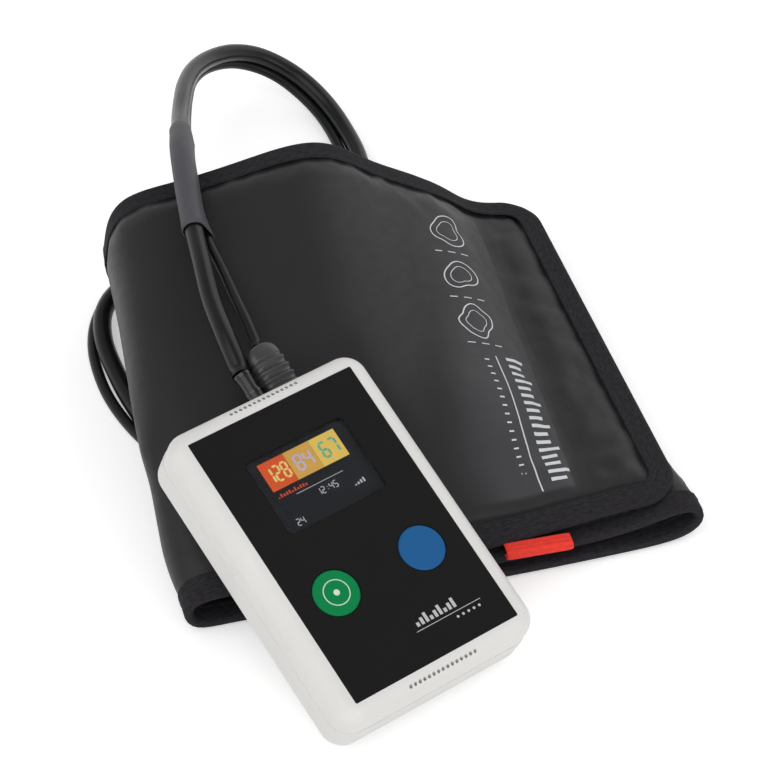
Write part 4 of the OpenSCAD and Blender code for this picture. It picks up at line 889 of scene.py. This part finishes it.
def makeBinding():
    # a folded tape: flat on both faces, round over the edge, with a slightly raised inner lip and sewing puckers;
    # the profile gives the place inwards of the edge and the height as a share of the tape's own
    stations, run = edgeStations(1.6)
    profile = [(6.5, 0.16), (6.55, 0.78), (6.3, 1.02), (5.7, 1.06), (5.0, 0.97), (4.2, 1.0), (3.0, 1.03), (1.8, 1.02),
               (0.7, 0.97), (-0.1, 0.86), (-0.6, 0.66), (-0.9, 0.36), (-1.0, 0.0)]
    t, rise = np.array(profile).T
    inner = halfT + cuff["lip"]
    out = bindOut * rise
    out[:2] = inner, inner + 0.3
    tAll = np.concatenate([t, t[-2::-1], [0.4, 0.4]])
    outAll = np.concatenate([out, -out[-2::-1], [-inner, inner]])
    n, columns = len(stations), len(tAll)
    pull = sewing["pucker"] * np.sin(run * 2 * math.pi / sewing["pitch"])
    pucker = 1 + pull[:, None] * hump(tAll, sewing["inset"], 1.1)[None]
    waves = sewing["wave"] * wander(run[:, None], np.abs(tAll)[None], 17, 31) * ease(-0.5, 3, tAll)[None]
    onTop = (outAll > 0.9)[None] * onOuterTurn(stations[:, :1])
    outGrid = outAll[None] * pucker + waves * onTop * np.sign(outAll)[None]
    points = acrossBinding(stations, np.broadcast_to(tAll, (n, columns)), outGrid)
    uv = np.stack([np.repeat(run, columns), np.tile(runAlong(np.stack([tAll, outAll], -1)), n)], -1) / 10
    faces = gridFaces(n, columns, closedRows=True, closedColumns=True, flip=True)
    return makePiece("cuffBinding", points.reshape(-1, 3), [faces], "bindingTape", "cuff_binding", uv=uv)


def makeStitches():
    # short rounded threads in a row along the binding, on both faces: six-sided, thick in the middle
    stations, run = edgeStations(0.8)
    places = np.arange(0.5, run[-1] - 3, sewing["pitch"])
    along = np.linspace(-0.5, 0.5, 5)
    thick = sewing["radius"] * np.array([0.15, 0.85, 1.0, 0.85, 0.15])[None, :, None, None]
    lift = np.tile([-0.12, 0.05, 0.1, 0.05, -0.12], len(places))
    at = (places[:, None] + along * sewing["stitch"]).ravel()
    cut = np.stack([np.interp(at, run, stations[:, c]) for c in range(4)], -1)
    inset = np.full((len(cut), 1), sewing["inset"])
    q = around(6)[None, None, :, None]
    threadFaces = np.concatenate([gridFaces(5, 6, closedColumns=True, flip=True),
                                  [[0, 1, 2, 3], [0, 3, 4, 5], [27, 26, 25, 24], [29, 28, 27, 24]]])
    skins = []
    for face in (1, -1):
        centre, outer = (acrossBinding(cut, inset, (face * (height + lift))[:, None])[:, 0]
                         for height in (bindOut * 0.98, bindOut + 1.0))
        line = centre.reshape(len(places), 5, 3)
        up = unit(outer - centre).reshape(line.shape)
        side = unit(np.cross(unit(np.gradient(line, axis=1)), up))
        skins.append(line[:, :, None] + (np.cos(q) * side[:, :, None] + np.sin(q) * up[:, :, None]) * thick)
    faces = (threadFaces[None] + np.arange(2 * len(places))[:, None, None] * 30).reshape(-1, 4)
    return makePiece("bindingStitches", np.concatenate(skins).reshape(-1, 3), [faces], "stitchThread")


binding = makeBinding()
stitches = makeStitches()
print("stage: binding")


def makeTag():
    # a loop of ribbed elastic: its section is a flat U, carried along the edge, with ribs running the same way
    tag = {"x": 27.0, "w": 20.4, "t": 0.8, "r": 1.9, "rib": 1.25, "lift": 2.2, "back": 0.8, "yaw": 0.045}
    q = np.linspace(-math.pi / 2, -3 * math.pi / 2, 17)
    mid = tag["r"] - tag["t"] / 2
    loopY, loopZ = -1.3 - tag["r"] + 0.4, bindOut + 0.1 + tag["t"] - tag["r"]
    low = np.stack([np.linspace(-1.45, loopY, 8)[:-1], np.full(7, loopZ - mid)], -1)
    bend = np.stack([loopY + mid * np.cos(q), loopZ + mid * np.sin(q)], -1)
    high = np.stack([np.linspace(loopY, 0, 12)[1:], np.full(11, loopZ + mid)], -1)
    line = np.concatenate([low, bend, high])
    t = unit(np.gradient(line, axis=0))
    normal = np.stack([t[:, 1], -t[:, 0]], -1)
    x = np.linspace(-0.5, 0.5, 91)
    run = runAlong(line)
    rib = 0.12 * np.abs(np.sin(math.pi * run / tag["rib"]))
    half = (tag["t"] / 2 - 0.12 + rib[:, None]) * np.sqrt(np.clip(1 - (np.abs(x) / 0.5) ** 10, 0, 1))[None]
    innerTurn = np.linspace(345, 440, 200)  # the part of the strip that runs below the flap
    reach = cloth(innerTurn, 0.0, 0.0)[:, 0]
    edge = cloth(np.interp(-tag["x"], -reach, innerTurn), 0.0, 0.0)
    skins = []
    for side in (1, -1):
        yz = line[:, None] + side * normal[:, None] * half[:, :, None]
        place = np.broadcast_to(edge[0] + x * tag["w"], yz.shape[:2])
        skins.append(np.stack([place, edge[1] + yz[..., 0] + tag["back"] - tag["yaw"] * x * tag["w"],
                               edge[2] + yz[..., 1] + tag["lift"]], -1).reshape(-1, 3))
    uv = np.stack([np.tile(x * tag["w"], len(line)), np.repeat(run, len(x))], -1) / 10
    makePiece("pullTab", np.concatenate(skins), shellFaces(len(line), len(x)), "tagTape", "size_tag",
              uv=np.tile(uv, (2, 1)))


makeTag()


def ribbon(points, width, closed=False, step=1.2):
    # a stroke of print: the path is cut into short pieces and widened to both sides, in millimetres on the cloth
    p = np.asarray(points, float)
    if closed:
        p = np.concatenate([p, p[:1]])
    run = runAlong(p)
    at = np.linspace(0, run[-1], max(3, int(run[-1] / step) + 1))
    line = np.stack([np.interp(at, run, p[:, 0]), np.interp(at, run, p[:, 1])], -1)
    t = unit(np.gradient(line, axis=0))
    if closed:
        t[0] = t[-1] = unit(line[1] - line[-2])
    side = np.stack([-t[:, 1], t[:, 0]], -1) * width / 2
    return np.stack([line - side, line + side], 1)


# marks of the flap, in millimetres of the cut; a wave is (how many, how deep, turned by)
marks = {"outlines": ((43.5, 116, 6.0, ((3, 0.15, 0.4), (5, 0.05, 1.0))),
                      (44, 96.5, 5.6, ((2, 0.2, 0.8), (3, 0.09, 2.0))),
                      (44.5, 76.5, 6.0, ((4, 0.09, 0.3), (2, 0.1, 1.9), (7, 0.03, 0)))),
         "dashRows": (106.3, 86.5, 66.8), "dashes": (38.5, 43.2, 47.9), "rule": ((42.6, 62), (40.2, 12)),
         "bars": (61.5, 15.0), "ticks": (60.0, 18.0), "pitch": 2.9, "lean": 0.05, "leanFrom": 62, "height": 0.07}


def makePrint():
    # wavy outlines r = 1 + sum of cosines, dashes between them, then a rule with two rows of bars
    strokes = []
    q = around(48)
    for x, y, size, waves in marks["outlines"]:
        for scale, width in ((1.0, 0.42), (0.62, 0.26)):
            r = size * scale * (1 + sum(depth * np.cos(n * q + turn) for n, depth, turn in waves))
            path = np.stack([x + 0.92 * r * np.cos(q), y + 1.1 * r * np.sin(q)], -1)
            strokes.append(ribbon(path, width, closed=True))
    for v in marks["dashRows"]:
        strokes += [ribbon([(s, v), (s + 2.6, v)], 0.4, step=0.5) for s in marks["dashes"]]
    strokes.append(ribbon(marks["rule"], 0.45))

    def bar(a, z, v, width, step):
        lean = marks["lean"] * (marks["leanFrom"] - v)
        strokes.append(ribbon([(a - lean, v), (z - lean, v)], width, step=step))
    for k, v in enumerate(np.arange(*marks["bars"], -marks["pitch"])):
        bar(38.9, 31.8 + 1.9 * (k * k % 3), v, 1.25, 1.1)
    for v in np.arange(*marks["ticks"], -marks["pitch"]):
        bar(47.2, 45.6, v, 0.55, 0.4)
    return strokes


def printPiece():
    points, faces, total = [], [], 0
    for stroke in makePrint():
        s, v = stroke[..., 0], stroke[..., 1]
        points.append(cloth(s, v, halfT + coverRelief(s, v) + marks["height"]).reshape(-1, 3))
        faces.append(gridFaces(len(stroke), 2) + total)
        total += len(stroke) * 2
    makePiece("flapPrint", np.concatenate(points), faces, "clothPrint")


printPiece()
print("stage: print and tab")


# recorder: marks, display picture and finishes of the carried-over nodes
def flatPrint(name, outlines, height, finish, body=rootBody):
    # flat marks in the recorder's frame: each outline is a closed row of points, filled from its centre
    points, faces, paints, total = [], [], [], 0
    for outline, which in outlines:
        flat = np.concatenate([outline, [np.mean(outline, 0)]])
        points.append(np.column_stack([flat, np.full(len(flat), height)]))
        faces.append(fanFaces(np.arange(len(outline)) + total, total + len(outline)))
        paints += [which] * len(outline)
        total += len(flat)
    makePiece(name, atRecorder(np.concatenate(points)), faces, finish, body=body, paints=paints, smooth=False)


def circle(x, y, r, count=40):
    q = around(count)
    return np.stack([x + r * np.cos(q), y + r * np.sin(q)], -1)


def rectangle(x0, y0, x1, y1):
    return [(x0, y0), (x1, y0), (x1, y1), (x0, y1)]


keys = {"x": 15.1, "y": -14.0, "top": 0.42, "ring": (3.75, 4.05), "dot": 0.95}
rings = [np.column_stack([circle(-keys["x"], keys["y"], r, 72), np.full(72, keys["top"])]) for r in keys["ring"]]
makePiece("startKeyRing", atRecorder(np.concatenate(rings)), [gridFaces(2, 72, closedColumns=True, flip=True)],
          "keyPrint", body="start_button", smooth=False)
flatPrint("startKeyDot", [(circle(-keys["x"], keys["y"], keys["dot"]), 0)], keys["top"], "keyPrint",
          body="start_button")


def segmentDigit(digit, x, y, w, h, thick):
    # seven-bar numeral: each bar is a long hexagon, its ends in widths and half heights
    lit = "abcdef bc abged abgcd fgbc afgcd afgedc abc abcdefg abcdfg".split()[int(digit)]
    bars = {"a": ((0, 2), (1, 2)), "b": ((1, 1), (1, 2)), "c": ((1, 0), (1, 1)), "d": ((0, 0), (1, 0)),
            "e": ((0, 0), (0, 1)), "f": ((0, 1), (0, 2)), "g": ((0, 1), (1, 1))}
    outlines = []
    for name in lit:
        a, b = (np.array(p) * (w, h / 2) + (x, y) for p in bars[name])
        t = (b - a) / np.linalg.norm(b - a) * thick
        n = np.array([-t[1], t[0]]) / 2
        a, b = a + t * 0.12, b - t * 0.12
        outlines.append([a, a + t / 2 - n, b - t / 2 - n, b, b - t / 2 + n, a + t / 2 + n])
    return outlines


def numberAt(text, x, y, w, h, thick, gap):
    return [bar for k, digit in enumerate(text) for bar in segmentDigit(digit, x + k * (w + gap), y, w, h, thick)]


# display, in millimetres from the middle of the recorder's face: colour, then corners, or place, size and stroke
display = {
    "colours": {"orange": (0.82, 0.1, 0.015), "amber": (0.92, 0.62, 0.12), "amberDeep": (0.78, 0.43, 0.075),
                "cream": (0.95, 0.72, 0.22), "lilac": (0.6, 0.5, 0.68), "mint": (0.13, 0.5, 0.32),
                "white": (0.62, 0.64, 0.67), "coral": (0.7, 0.07, 0.03)},
    "fields": [("orange", -13.8, 20.9, -5, 30.2), ("amberDeep", -4.95, 20.9, 4, 30.2), ("amber", 4.05, 20.9, 13, 30.2)],
    "numbers": [("cream", "128", -12.9, 23.1, 1.75, 4.8, 0.7, 0.95), ("lilac", "84", -2.9, 23.1, 2.1, 4.8, 0.75, 1.1),
                ("mint", "67", 6.1, 23.1, 2.1, 4.8, 0.75, 1.1), ("white", "12", -2.2, 13.9, 0.95, 2.1, 0.28, 0.55),
                ("white", "45", 2.1, 13.9, 0.95, 2.1, 0.28, 0.55), ("white", "24", -12.8, 8.6, 0.95, 2.1, 0.28, 0.55)],
    "marks": [("white", -8, 17.35, 8.2, 17.52), ("white", 1.15, 14.4, 1.4, 14.65), ("white", 1.15, 15.2, 1.4, 15.45)],
    "depth": (-0.985, -0.965)}
display["marks"] += [("coral", -13.5 + k * 0.95, 18.4, -12.95 + k * 0.95, 18.75 + 0.9 * abs(math.sin(k * 1.3)))
                     for k in range(11)]
display["marks"] += [("white", 9 + k, 11.6, 9.6 + k, 12.0 + 0.35 * k) for k in range(4)]


def makeDisplayPicture():
    # three colour fields, and on them numerals, a rule, a clock and rows of bars
    which = {key: k for k, key in enumerate(display["colours"])}
    for key, colour in display["colours"].items():
        mouldedPlastic("display_" + key, colour, 0.4, 0.2)
    finish = " ".join("display_" + key for key in which)
    fields, boxes = ([(rectangle(*corners), which[key]) for key, *corners in display[part]]
                     for part in ("fields", "marks"))
    figures = [(bar, which[key]) for key, *number in display["numbers"] for bar in numberAt(*number)]
    flatPrint("displayFields", fields, display["depth"][0], finish)
    flatPrint("displayFigures", figures + boxes, display["depth"][1], finish)


makeDisplayPicture()
panelMarks = [rectangle(-1, -35.15, 21.5, -34.95)]
panelMarks += [rectangle(0.2 + 1.6 * k, -33.9, 1.2 + 1.6 * k, -32.6 + 0.9 * (k % 3)) for k in range(9)]
panelMarks += [circle(12.5 + 1.9 * k, -36.7, 0.42, 20) for k in range(5)]
flatPrint("panelMarks", [(outline, 0) for outline in panelMarks], 0.02, "panelInk")

finishes = {
    "caseFront": "front_shell", "caseRear": "rear_shell battery_door", "panelFilm": "front_overlay",
    "windowGlass": "display_window", "displayGlass": "display_module",
    "greenKey": "start_button", "blueKey": "event_button", "cellSleeve": "battery_left battery_right",
    "plated": "start_switch event_switch pump_motor battery_springs battery_contacts air_socket "
              "case_screw_1 case_screw_2 case_screw_3 case_screw_4",
    "polished": "pump_rotor valve_plunger", "boardResist": "circuit_board", "palePart": "air_manifold pressure_sensor",
    "darkPart": "processor_chip buzzer pump_head valve_body mic_socket hose_port"}
for key, nodes in finishes.items():
    for node in nodes.split():
        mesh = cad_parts[node].data
        mesh.materials.clear()
        mesh.materials.append(looks[key])
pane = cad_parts["display_window"].data
pane.materials.append(looks["windowRim"])  # on the pane's side faces
outward = recorderTurn @ Vector((0, 0, 1))
for face in pane.polygons:
    face.material_index = int(abs(face.normal.dot(outward)) < 0.5)
print("stage: recorder")


# floor, light and world
studio = {"floorHalf": 1.5, "floorColour": 0.86, "floorGlow": 0.42, "zenith": 0.34, "horizon": 0.98,
          "target": (0, 0, 0.02),
          "lamps": {"key": ((-0.55, -0.25, 1.0), (1.1, 1.1), 4.6), "fill": ((0.75, 0.55, 0.75), (1.0, 0.8), 2.2),
                    "front": ((0.15, -0.95, 0.5), (1.1, 0.6), 3.0)}}


def makeFloor():
    size = studio["floorHalf"]
    mesh = bpy.data.meshes.new("floor")
    mesh.from_pydata([(x, y, 0) for x, y in rectangle(-size, -size, size, size)], [], [(0, 1, 2, 3)])
    item = addObject("floor", mesh)
    material = newMaterial("floor", (studio["floorColour"],) * 3, 0.9, Emission_Color=(1, 1, 1, 1))
    # seen by the camera, in a reflection or through glass it glows up to white; its diffuse light stays as it is
    path = addNode(material.node_tree, "ShaderNodeLightPath").outputs
    glow = path["Is Camera Ray"]
    for kind in ("Is Glossy Ray", "Is Transmission Ray"):
        glow = maths("MAXIMUM", glow, path[kind])
    link(times(glow, studio["floorGlow"]), "Emission Strength")
    mesh.materials.append(material)


def makeLamp(name, place, size, power):
    data = bpy.data.lights.new(name, "AREA")
    data.shape, data.size, data.size_y, data.energy = "RECTANGLE", *size, power
    aim(addObject(name, data), place, Vector(studio["target"]) - Vector(place))


def makeWorld():
    # white at the horizon and darker overhead
    world = bpy.data.worlds.new("studio")
    world.use_nodes = True
    bpy.context.scene.world = world
    tree = world.node_tree
    place = addNode(tree, "ShaderNodeTexCoord").outputs["Generated"]
    height = addNode(tree, "ShaderNodeSeparateXYZ", {"Vector": place}).outputs["Z"]
    shade = ramp(height, [(0.05, (studio["horizon"],) * 3), (0.85, (studio["zenith"],) * 3)])
    tree.links.new(shade, tree.nodes["Background"].inputs["Color"])


makeFloor()
makeWorld()
for name, lamp in studio["lamps"].items():
    makeLamp(name, *lamp)
bpy.context.scene.view_settings.view_transform = "Standard"
print("stage: studio")
